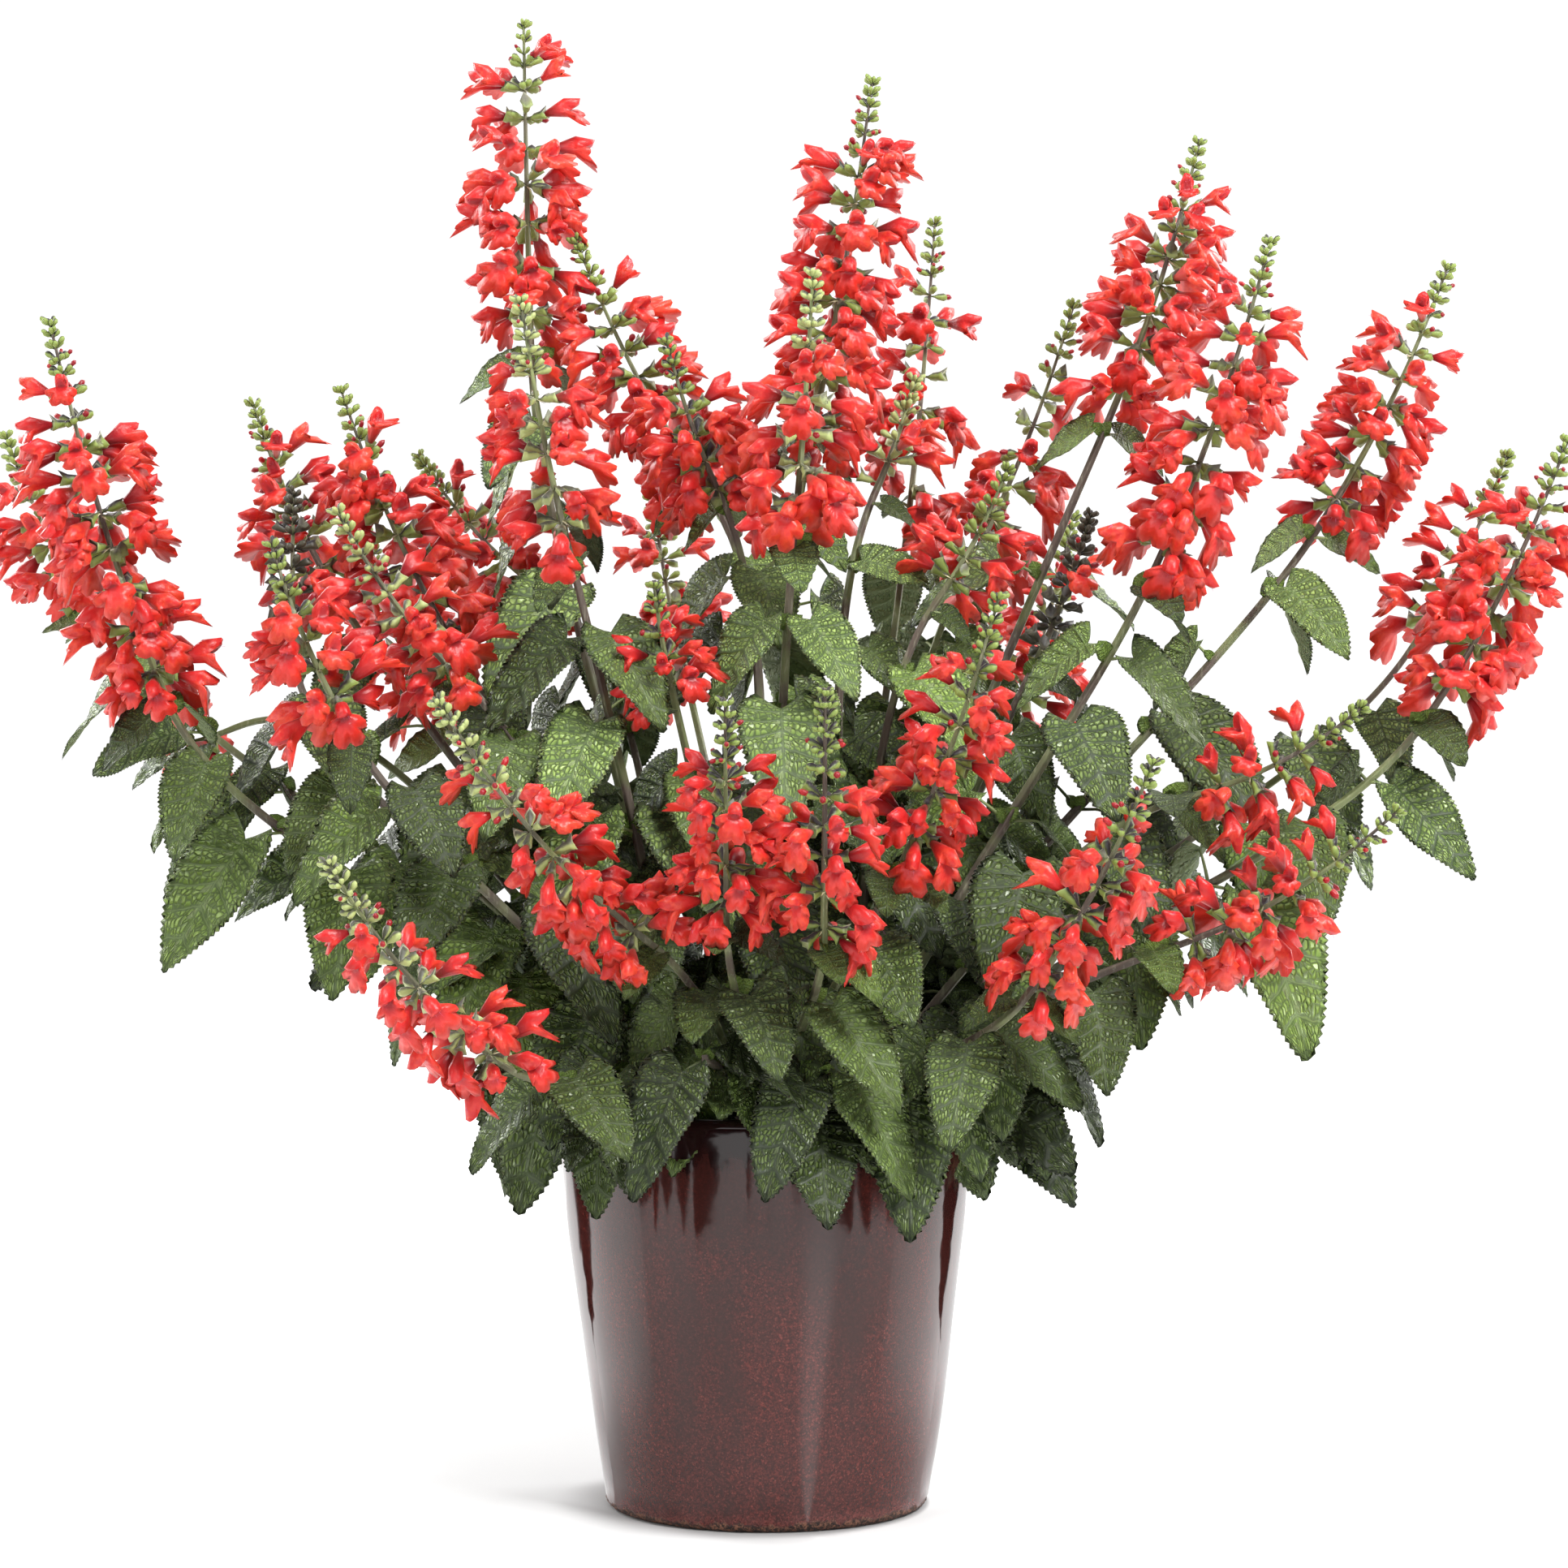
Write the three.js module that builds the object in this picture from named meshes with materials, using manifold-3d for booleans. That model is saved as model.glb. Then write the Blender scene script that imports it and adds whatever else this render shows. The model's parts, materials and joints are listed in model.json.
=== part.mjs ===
// Potted scarlet sage: a glazed pot full of soil, leafy stems that rise from seven crowns,
// and a red raceme of two-lipped flowers on the end of each stem.
// Millimetres, +Z up. The origin is the centre of the pot's underside, and -Y is the front.

import * as THREE from "three";
import { mergeVertices } from "three/addons/utils/BufferGeometryUtils.js";
import Module from "manifold-3d";

const wasm = await Module();
wasm.setup();

// Pot: outer radii and heights, all measured on the outside
const pot = {
  height: 222,
  baseRadius: 86,
  heelRadius: 89,
  heelHeight: 4,
  bellyRadius: 103,
  bellyHeight: 98,
  rimRadius: 119,
  lipRadius: 3.5,
  wall: 8,
  lipInside: 1.5,
  lipDepth: 8,
  floor: 10,
  sides: 24,
  drainRadius: 6,
  drainRing: 45,
  drainCount: 3,
  drainSides: 8,
};

// Soil fills the pot to a little under the rim
const soil = { top: 204, dome: 4, gap: 0.4, sides: 12 };

// Each crown is a woody knob half sunk in the soil, and carries several stems. One is in the middle
// and the rest stand in a ring round it. Stems start a little above the soil, inside a crown.
const crown = {
  radius: 13,
  taper: 0.75,
  depth: 16,
  rise: 14,
  sides: 5,
  ring: 44,
  ringCount: 6,
  ringTurn: 30,
  reachShare: 0.3,
  stemStart: 9,
  stemSpread: 0.3,
  gap: 0.4,
};

// Stems are square. These are widths across the flats, the longest straight stretch, and the gap
// between a leafy stem and the raceme on its end.
const stemWidth = { root: 6.4, foot: 4.4, tip: 1.4 };
const stemStep = 110;
const racemeGap = 0.35;

// A stem's curve: how far it leans out of the soil, how it meets the raceme's foot, and how the
// raceme's tip turns up
const bend = {
  lean: 0.75,
  mostLean: 1.3,
  rootPull: 0.38,
  footPull: 0.26,
  footDip: 0.22,
  racemePull: 0.36,
  tipLift: 0.3,
};

// A raceme's whorls stand closer together towards the tip, which ends in a few buds
const whorl = {
  budDown: 12,
  budBand: 5.4,
  budReach: 9,
  budRise: 6,
  firstGap: 16,
  growth: 4.4,
  band: 4.6,
  footMargin: 6,
};

// One flower: a tube that widens to a mouth with a hood above and a broad lip below. Young ones
// near the tip are smaller and point up, and old ones point out.
const flower = {
  length: 31,
  hoodRise: 7.5,
  hoodAhead: 3,
  lipWide: 7.8,
  lipDrop: 6.5,
  throat: 21,
  throatDrop: 1,
  youngSize: 0.86,
  oldSize: 1.06,
  oldDown: 90,
  youngLift: 0.55,
  oldLift: 0.05,
  swing: 18,
  swingDraw: 14,
  liftDraw: 0.9,
  liftMiddle: 0.55,
  rootFree: 1.4,
  rootShare: 0.1,
  shrinks: [1, 0.85, 0.7],
  clearance: 0.5,
};

// One leaf: heart-shaped at the base, toothed along the edge, folded and drooping
const leaf = {
  halfWidth: 0.38,
  lobes: 0.15,
  widestPower: 0.62,
  fullness: 0.8,
  thickness: 1.8,
  ribShare: 0.45,
  toothOut: 0.066,
  toothIn: 0.11,
  steps: 5,
  largeSteps: 6,
  largeLength: 60,
  fold: 0.22,
  sag: 0.24,
  band: 5,
  petioleWide: 2.2,
  petioleOut: 0.8,
  petioleUp: 0.7,
  splay: 0.75,
  sunward: 1.6,
  turnDraw: 16,
  droopDraw: 18,
  sizeDraw: 0.2,
  rootFree: 4.2,
  lowestShare: 0.12,
  clearance: 0.6,
};

// Leaf pairs down a stem, counted from the raceme: distance, blade length, petiole and droop
const leafPairs = [
  { down: 9, blade: 36, petiole: 6, droop: 30 },
  { down: 50, blade: 54, petiole: 12, droop: 42 },
  { down: 100, blade: 66, petiole: 20, droop: 48 },
  { down: 155, blade: 72, petiole: 26, droop: 52 },
  { down: 215, blade: 74, petiole: 32, droop: 56 },
];

// The same for a leafy shoot, which leans out over the pot's rim and ends without a raceme
const shootPairs = [
  { down: 5, blade: 58, petiole: 14, droop: 58 },
  { down: 30, blade: 72, petiole: 24, droop: 66 },
];

// Ways to turn a leaf clear of what is already there: turn and droop in degrees, and size
const leafTries = [
  [0, 0, 1], [18, 0, 1], [-18, 0, 1], [0, 20, 1], [0, -20, 1], [35, 10, 0.95], [-35, 10, 0.95],
  [20, 30, 0.9], [-20, 30, 0.9], [30, -25, 0.9], [-30, -25, 0.9], [0, 45, 0.85], [50, 0, 0.8],
  [-50, 0, 0.8], [0, 0, 0.7], [25, 20, 0.7], [-25, 20, 0.7], [0, -40, 0.7], [40, 30, 0.6],
  [-40, 30, 0.6],
];

// Stems: foot and tip of each raceme. pairs says which leaf pairs it has, and turn where the first
// one points, in degrees round the stem.
const stems = [
  { foot: [-330, -20, 445], tip: [-390, -40, 650], pairs: [0, 1, 2, 4], turn: 20 },
  { foot: [-385, 60, 495], tip: [-440, 80, 600], pairs: [1], turn: 60 },
  { foot: [-250, 75, 510], tip: [-300, 100, 620], pairs: [1, 3], turn: 0 },
  { foot: [-175, 20, 475], tip: [-240, 30, 620], pairs: [1, 2], turn: 30 },
  { foot: [-125, 110, 505], tip: [-210, 160, 595], pairs: [1, 3], turn: 45 },
  { foot: [-262, -10, 480], tip: [-262, -5, 560], pairs: [1], turn: 70 },
  { foot: [-220, -95, 425], tip: [-260, -110, 525], pairs: [0, 1, 3], turn: 80 },
  { foot: [-165, -60, 455], tip: [-230, -75, 545], pairs: [1], turn: 10 },
  { foot: [-135, 60, 645], tip: [-140, 70, 835], pairs: [0, 1, 3], turn: 15, stretch: 1.5 },
  { foot: [-105, -70, 520], tip: [-130, -95, 655], pairs: [0, 1, 2], turn: 75 },
  { foot: [-35, 45, 565], tip: [-110, 60, 710], pairs: [0, 2], turn: 30 },
  { foot: [-25, -10, 555], tip: [-55, -40, 640], pairs: [1], turn: 60 },
  { foot: [25, 50, 595], tip: [60, 60, 800], pairs: [0, 2, 4], turn: 20 },
  { foot: [15, -65, 530], tip: [25, -85, 670], pairs: [0, 1, 2], turn: 82 },
  { foot: [85, 140, 570], tip: [100, 160, 735], pairs: [1, 3], turn: 35, stretch: 1.3 },
  { foot: [62, 60, 565], tip: [85, 75, 632], pairs: [], turn: 0 },
  { foot: [115, 90, 520], tip: [180, 115, 680], pairs: [1, 3], turn: 50 },
  { foot: [95, 5, 500], tip: [135, 15, 575], pairs: [1], turn: 20 },
  { foot: [195, 65, 605], tip: [250, 85, 770], pairs: [0, 2], turn: 0 },
  { foot: [210, -25, 510], tip: [275, -35, 695], pairs: [0, 1, 2], turn: 85 },
  { foot: [315, 55, 545], tip: [390, 65, 695], pairs: [0, 1, 3], turn: 5 },
  { foot: [370, 75, 475], tip: [430, 95, 590], pairs: [2], turn: 40 },
  { foot: [365, -10, 435], tip: [445, 0, 590], pairs: [0, 1, 3], turn: 70 },
  { foot: [225, -60, 390], tip: [320, -75, 440], pairs: [1, 2], turn: 30 },
  { foot: [210, -100, 310], tip: [330, -125, 385], pairs: [0, 1, 2], turn: 60 },
  { foot: [135, -150, 290], tip: [195, -195, 410], pairs: [1], turn: 0 },
  { foot: [70, -125, 355], tip: [120, -155, 495], pairs: [1, 2], turn: 30 },
  { foot: [-20, -150, 325], tip: [-20, -195, 440], pairs: [1], turn: 45 },
  { foot: [30, -160, 320], tip: [30, -205, 445], pairs: [1], turn: 70 },
  { foot: [-50, -60, 445], tip: [-60, -80, 505], pairs: [1], turn: 20 },
  { foot: [-60, -130, 315], tip: [-165, -190, 440], pairs: [1, 2], turn: 60 },
  { foot: [-135, -160, 255], tip: [-215, -230, 360], pairs: [0, 1], turn: 30 },
  { foot: [-305, 70, 430], tip: [-360, 75, 420], pairs: [], turn: 60 },
  { foot: [150, 15, 465], tip: [182, 25, 550], pairs: [1], turn: 10 },
  { foot: [-190, 170, 430], tip: [-250, 215, 560], pairs: [0, 2, 3], turn: 40 },
  { foot: [-50, 215, 460], tip: [-75, 275, 590], pairs: [0, 2], turn: 20 },
  { foot: [150, 190, 440], tip: [190, 250, 565], pairs: [0, 2, 3], turn: 35 },
  { foot: [-95, 225, 300], tip: [-145, 325, 385], pairs: [1], turn: 50 },
  { foot: [90, 235, 300], tip: [120, 335, 390], pairs: [1], turn: 15 },
];

// Leafy shoots: the compass angle each one leans to, how far its end stands out, and how high
const shoots = [
  { angle: -163, reach: 140, height: 252, turn: 20 },
  { angle: -130, reach: 136, height: 246, turn: 70 },
  { angle: -103, reach: 140, height: 256, turn: 10 },
  { angle: -76, reach: 134, height: 244, turn: 60 },
  { angle: -48, reach: 142, height: 254, turn: 25 },
  { angle: -15, reach: 138, height: 250, turn: 75 },
  { angle: 32, reach: 136, height: 248, turn: 15 },
  { angle: 88, reach: 134, height: 250, turn: 40 },
  { angle: 140, reach: 138, height: 246, turn: 20 },
];
const shootAim = { out: 10, up: 5 };

const up = new THREE.Vector3(0, 0, 1);
const front = new THREE.Vector3(0, -1, 0);
const sun = new THREE.Vector3(0, -1, 0.5).normalize();
const degrees = THREE.MathUtils.degToRad;
const at = (x, y, z) => new THREE.Vector3(x, y, z);
const mix = THREE.MathUtils.lerp;

// A repeatable draw from 0 to 1 for the three numbers that name a piece
function draw(i, j, k) {
  const wave = Math.sin(i * 12.9898 + j * 78.233 + k * 37.719 + 4.1) * 43758.5453;
  return wave - Math.floor(wave);
}

// A growing surface: points, and triangles that face outwards
class Skin {
  constructor() {
    this.points = [];
    this.triangles = [];
  }

  add(point) {
    this.points.push(point);
    return this.points.length - 1;
  }

  ring(points) {
    return points.map((point) => this.add(point));
  }

  triangle(a, b, c) {
    this.triangles.push([a, b, c]);
  }

  // Walls from one loop to the next, both counterclockwise seen from the far end
  walls(near, far) {
    near.forEach((a, i) => {
      const j = (i + 1) % near.length;
      this.triangle(a, near[j], far[j]);
      this.triangle(a, far[j], far[i]);
    });
  }

  // A flat end on a loop
  cap(loop) {
    for (let i = 1; i + 1 < loop.length; i += 1) this.triangle(loop[0], loop[i], loop[i + 1]);
  }

  // A pointed end on a loop
  point(loop, tip) {
    const apex = this.add(tip);
    loop.forEach((a, i) => this.triangle(a, loop[(i + 1) % loop.length], apex));
  }

  solid() {
    return new wasm.Manifold(
      new wasm.Mesh({
        numProp: 3,
        vertProperties: new Float32Array(this.points.flatMap((p) => p.toArray())),
        triVerts: new Uint32Array(this.triangles.flat()),
      }),
    );
  }
}

// Three.js geometry to a solid and back
function solidOf(geometry) {
  const bare = geometry.clone();
  bare.deleteAttribute("normal");
  bare.deleteAttribute("uv");
  const merged = mergeVertices(bare, 1e-3);
  return new wasm.Manifold(
    new wasm.Mesh({
      numProp: 3,
      vertProperties: merged.attributes.position.array,
      triVerts: new Uint32Array(merged.index.array),
    }),
  );
}

function geometryOf(solid) {
  const mesh = solid.getMesh();
  const positions = new Float32Array(mesh.numVert * 3);
  for (let i = 0; i < mesh.numVert; i += 1) {
    const start = i * mesh.numProp;
    positions.set(mesh.vertProperties.subarray(start, start + 3), i * 3);
  }
  return new THREE.BufferGeometry()
    .setAttribute("position", new THREE.BufferAttribute(positions, 3))
    .setIndex(new THREE.BufferAttribute(mesh.triVerts, 1));
}

// What is already in place. A leaf or flower has two shapes: whole, which the pieces of other axes
// keep clear of, and free, without its root, which the pieces of its own axis keep clear of.
const placed = [];

function place(whole, free, axis) {
  placed.push({ whole, free, axis, box: whole.boundingBox() });
}

function isClear(whole, free, axis, gap) {
  const box = whole.boundingBox();
  return placed.every((other) => {
    const apart = [0, 1, 2].some(
      (k) => other.box.min[k] > box.max[k] + gap || other.box.max[k] < box.min[k] - gap,
    );
    if (apart) return true;
    const distance =
      other.axis === axis ? free.minGap(other.free, gap) : whole.minGap(other.whole, gap);
    return distance >= gap;
  });
}

// Where a stem runs: from its crown to the raceme's foot, and on to the tip
function crownCentre(index) {
  if (index === crown.ringCount) return at(0, 0, soil.top);
  const angle = (index / crown.ringCount) * 2 * Math.PI + degrees(crown.ringTurn);
  return at(crown.ring * Math.cos(angle), crown.ring * Math.sin(angle), soil.top);
}

function crownOf(stem) {
  const [x, y] = stem.foot;
  const reach = Math.hypot(x, y) * crown.reachShare;
  const aim = at(x, y, 0).setLength(Math.min(reach, crown.ring)).setZ(soil.top);
  let best = 0;
  for (let i = 1; i <= crown.ringCount; i += 1) {
    if (crownCentre(i).distanceTo(aim) < crownCentre(best).distanceTo(aim)) best = i;
  }
  return best;
}

function paths(stem) {
  const foot = at(...stem.foot);
  const tip = at(...stem.tip);
  const raceme = tip.clone().sub(foot);
  const along = raceme.clone().normalize();
  const atFoot = along.clone().addScaledVector(up, -bend.footDip).normalize();
  const atTip = along.clone().addScaledVector(up, bend.tipLift).normalize();
  const racemePull = raceme.length() * bend.racemePull;
  const middle = crownCentre(crownOf(stem));
  const outward = foot.clone().sub(middle).setZ(0);
  const lean = Math.min(bend.mostLean, (bend.lean * outward.length()) / (foot.z - soil.top));
  outward.normalize();
  const root = middle.clone().addScaledVector(outward, crown.radius * crown.stemSpread);
  root.z += crown.stemStart;
  const reach = foot.distanceTo(root);
  const atRoot = outward.clone().multiplyScalar(lean).add(up).normalize();
  return {
    stalk: new THREE.CubicBezierCurve3(
      root,
      root.clone().addScaledVector(atRoot, reach * bend.rootPull),
      foot.clone().addScaledVector(atFoot, -reach * bend.footPull),
      foot,
    ),
    raceme: new THREE.CubicBezierCurve3(
      foot,
      foot.clone().addScaledVector(atFoot, racemePull),
      tip.clone().addScaledVector(atTip, -racemePull),
      tip,
    ),
  };
}

// A leafy shoot as a stem, with a tip only to say which way it points
function shootStem(shoot) {
  const angle = degrees(shoot.angle);
  const spot = (reach, height) => [reach * Math.cos(angle), reach * Math.sin(angle), height];
  return {
    foot: spot(shoot.reach, shoot.height),
    tip: spot(shoot.reach + shootAim.out, shoot.height + shootAim.up),
    pairs: shootPairs.map((_, order) => order),
    turn: shoot.turn,
  };
}

// Axes of a stem's square section at a share of its path
function frameAt(path, share, turn) {
  const centre = path.getPointAt(share);
  const axis = path.getTangentAt(share);
  const side = front.clone().negate().cross(axis).normalize();
  const back = axis.clone().cross(side);
  const cos = Math.cos(degrees(turn));
  const sin = Math.sin(degrees(turn));
  return {
    centre,
    axis,
    side: side.clone().multiplyScalar(cos).addScaledVector(back, sin),
    back: back.clone().multiplyScalar(cos).addScaledVector(side, -sin),
  };
}

// The direction that leaves a stem at an angle round it
function around(frame, angle) {
  return frame.side
    .clone()
    .multiplyScalar(Math.cos(degrees(angle)))
    .addScaledVector(frame.back, Math.sin(degrees(angle)));
}

// Runs a square stem on from its last ring, in straight steps short enough to bend
function climb(skin, ringAt, length, last, from, to) {
  const steps = Math.ceil(((to - from) * length) / stemStep);
  let ring = last;
  for (let i = 1; i <= steps; i += 1) {
    const next = ringAt(mix(from, to, i / steps));
    skin.walls(ring, next);
    ring = next;
  }
  return ring;
}

function squareRing(skin, frame, width) {
  const half = width / 2;
  const corners = [[1, -1], [1, 1], [-1, 1], [-1, -1]];
  return skin.ring(
    corners.map(([a, b]) =>
      frame.centre
        .clone()
        .addScaledVector(frame.side, a * half)
        .addScaledVector(frame.back, b * half),
    ),
  );
}

// The four-cornered hole in a stem's side where a piece grows out, side 0 facing frame.side
function sideLoop(low, high, side) {
  const next = (side + 1) % 4;
  return [low[side], low[next], high[next], high[side]];
}

// A flower's mouth, as two corners of the lip and the end of the hood, and its throat
function flowerPoints(centre, direction, axis, size) {
  const lift = axis.clone().addScaledVector(direction, -axis.dot(direction)).normalize();
  const across = lift.clone().cross(direction).normalize();
  const spot = (reach, wide, rise) =>
    centre
      .clone()
      .addScaledVector(direction, reach * size)
      .addScaledVector(across, wide * size)
      .addScaledVector(lift, rise * size);
  return {
    mouth: [
      spot(flower.length - flower.hoodAhead, -flower.lipWide, -flower.lipDrop),
      spot(flower.length - flower.hoodAhead, flower.lipWide, -flower.lipDrop),
      spot(flower.length, 0, flower.hoodRise),
    ],
    throat: spot(flower.throat, 0, -flower.throatDrop),
  };
}

// Grows a hollow flower out of a triangular hole
function growFlower(skin, loop, points) {
  const mouth = skin.ring(points.mouth);
  skin.walls(loop, mouth);
  skin.point(mouth, points.throat);
}

function flowerProbe(start, points) {
  const skin = new Skin();
  const loop = skin.ring(start);
  skin.cap([...loop].reverse());
  growFlower(skin, loop, points);
  return skin.solid();
}

// A leaf's points: petiole end, toothed edges, rib and tip. Its upper face turns towards the sun.
function leafPoints(frame, pair, angle, attempt, number) {
  const [turn, droopMore, size] = attempt;
  const vary = (which, range) => (draw(number, angle, which) - 0.5) * range;
  const outward = around(frame, angle);
  const radial = frame.centre.clone().setZ(0).normalize();
  const flat = outward.clone().setZ(0).normalize().addScaledVector(radial, leaf.splay);
  flat.normalize().applyAxisAngle(up, degrees(turn + vary(1, leaf.turnDraw)));
  const droop = degrees(pair.droop + droopMore + vary(2, leaf.droopDraw));
  const length = pair.blade * size * (1 + vary(3, leaf.sizeDraw));
  const petiole = flat
    .clone()
    .multiplyScalar(leaf.petioleOut)
    .add(outward)
    .addScaledVector(frame.axis, leaf.petioleUp)
    .setLength(pair.petiole * size + stemWidth.foot / 2);
  const base = frame.centre.clone().add(petiole);
  const blade = flat.clone().multiplyScalar(Math.cos(droop)).addScaledVector(up, -Math.sin(droop));
  const upward = blade.clone().cross(up).normalize().cross(blade);
  const sunward = sun.clone().addScaledVector(blade, -sun.dot(blade));
  const normal = upward.addScaledVector(sunward, leaf.sunward).normalize();
  const left = blade.clone().cross(normal);
  const spot = (along, across, rise) =>
    base
      .clone()
      .addScaledVector(blade, along * length)
      .addScaledVector(left, across * length)
      .addScaledVector(normal, rise * length)
      .addScaledVector(up, -leaf.sag * length * along * Math.abs(along));
  const steps = length > leaf.largeLength ? leaf.largeSteps : leaf.steps;
  const edge = (hand) => {
    const points = [];
    for (let i = 1; i < steps; i += 1) {
      const share = i / steps;
      const along = share - leaf.lobes * (1 - share);
      const bulge = Math.sin(Math.PI * share ** leaf.widestPower) ** leaf.fullness;
      const across = leaf.halfWidth * bulge * (1 + (i % 2 ? leaf.toothOut : -leaf.toothIn));
      points.push(spot(along, hand * across, leaf.fold * across));
    }
    return points;
  };
  const half = leaf.thickness / length / 2;
  const wide = (leaf.petioleWide * size) / length / 2;
  return {
    stalkEnd: [spot(0, wide, 0), spot(0, 0, -half), spot(0, -wide, 0), spot(0, 0, half)],
    leftEdge: edge(1),
    rightEdge: edge(-1),
    ribTop: spot(leaf.ribShare, 0, half),
    ribUnder: spot(leaf.ribShare, 0, -half),
    tip: spot(1, 0, 0),
  };
}

// Lays the two faces of a blade on the end of its petiole
function layBlade(skin, stalkEnd, points) {
  const [left, under, right, top] = stalkEnd;
  const tip = skin.add(points.tip);
  const ribs = { top: skin.add(points.ribTop), under: skin.add(points.ribUnder) };
  const sides = [
    [left, ...skin.ring(points.leftEdge), tip],
    [right, ...skin.ring(points.rightEdge), tip],
  ];
  sides.forEach((edge, hand) => {
    const turnAt = Math.floor(edge.length / 2);
    [[top, ribs.top], [under, ribs.under]].forEach(([start, rib], face) => {
      const flip = hand !== face;
      const lay = (a, b, c) => (flip ? skin.triangle(a, c, b) : skin.triangle(a, b, c));
      for (let i = 0; i + 1 < edge.length; i += 1) {
        lay(i < turnAt ? start : rib, edge[i], edge[i + 1]);
      }
      lay(start, edge[turnAt], rib);
    });
  });
}

function leafProbe(start, points) {
  const skin = new Skin();
  const loop = skin.ring(start);
  const end = skin.ring(points.stalkEnd);
  skin.cap([...loop].reverse());
  skin.walls(loop, end);
  layBlade(skin, end, points);
  return skin.solid();
}

// Distances of the flower whorls from a raceme's tip
function whorlPlaces(stem, length) {
  const stretch = stem.stretch ?? 1;
  const places = [];
  let gap = whorl.firstGap * stretch;
  let down = whorl.budDown + gap;
  while (down < length - whorl.footMargin) {
    places.push(down);
    gap += whorl.growth * stretch;
    down += gap;
  }
  return places;
}

const racemeName = (number) => `raceme_${String(number + 1).padStart(2, "0")}`;
const stalkName = (number) => `stalk_${number + 1}`;

// The first size at which a flower is clear of what is already there, or null
function findFlower(frame, direction, size, root, name) {
  const near = frame.centre.clone().addScaledVector(direction, flower.rootFree);
  for (const shrink of flower.shrinks) {
    const points = flowerPoints(frame.centre, direction, frame.axis, size * shrink);
    const whole = flowerProbe(root, points);
    const start = points.mouth.map((p) => near.clone().lerp(p, flower.rootShare));
    const free = flowerProbe(start, points);
    if (isClear(whole, free, name, flower.clearance)) {
      place(whole, free, name);
      return points;
    }
  }
  return null;
}

// A ring of buds just under the tip, one on each side
function growBuds(skin, ringAt, last, frame, length) {
  const share = 1 - whorl.budDown / length;
  const ring = ringAt(share);
  const next = ringAt(share + whorl.budBand / length);
  skin.walls(last, ring);
  for (let side = 0; side < 4; side += 1) {
    const bud = frame.centre
      .clone()
      .addScaledVector(around(frame, side * 90), whorl.budReach)
      .addScaledVector(frame.axis, whorl.budRise);
    skin.point(sideLoop(ring, next, side), bud);
  }
  return next;
}

// The raceme: a tapering square axis with whorls of flowers, and buds at the tip. Each whorl is a
// band of eight triangles round the axis, and a flower grows out of every other one.
function raceme(stem, number, inBloom) {
  const name = racemeName(number);
  const path = paths(stem).raceme;
  const length = path.getLength();
  const skin = new Skin();
  const frameOf = (share) => frameAt(path, share, stem.turn);
  const width = (share) => mix(stemWidth.foot, stemWidth.tip, share);
  const ringAt = (share) => squareRing(skin, frameOf(share), width(share));
  const half = whorl.band / 2 / length;
  let last = ringAt(0);
  skin.cap([...last].reverse());

  whorlPlaces(stem, length).reverse().forEach((down, order) => {
    const share = 1 - down / length;
    const frame = frameOf(share);
    const low = ringAt(share - half);
    const high = ringAt(share + half);
    skin.walls(last, low);
    last = high;
    const size = mix(flower.youngSize, flower.oldSize, Math.min(1, down / flower.oldDown));
    for (let slot = 0; slot < 8; slot += 1) {
      const side = Math.floor(slot / 2);
      const odd = slot % 2;
      const [a, b, c, d] = sideLoop(low, high, side);
      const loop = odd ? [a, c, d] : [a, b, c];
      const pick = order * 8 + slot;
      const swing = (odd ? 1 : -1) * flower.swing + (draw(number, pick, 1) - 0.5) * flower.swingDraw;
      const lift = (draw(number, pick, 2) - flower.liftMiddle) * flower.liftDraw;
      const direction = around(frame, side * 90 + swing)
        .addScaledVector(frame.axis, mix(flower.youngLift, flower.oldLift, down / length))
        .addScaledVector(up, lift)
        .normalize();
      const root = loop.map((k) => skin.points[k]);
      const wanted = inBloom && odd === (side + order) % 2;
      const points = wanted ? findFlower(frame, direction, size, root, name) : null;
      if (points) growFlower(skin, loop, points);
      else skin.triangle(...loop);
    }
  });

  last = growBuds(skin, ringAt, last, frameOf(1 - whorl.budDown / length), length);
  skin.point(last, path.getPointAt(1));
  return skin.solid();
}

// The first way to turn a leaf so that it is clear of what is already there, or null
function findLeaf(frame, pair, angle, root, number) {
  const name = stalkName(number);
  for (const attempt of leafTries) {
    const points = leafPoints(frame, pair, angle, attempt, number);
    const whole = leafProbe(root, points);
    const near = leaf.rootFree / points.stalkEnd[0].distanceTo(frame.centre);
    const start = points.stalkEnd.map((p) => frame.centre.clone().lerp(p, near));
    const free = leafProbe(start, points);
    if (isClear(whole, free, name, leaf.clearance)) {
      place(whole, free, name);
      return points;
    }
  }
  return null;
}

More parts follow.
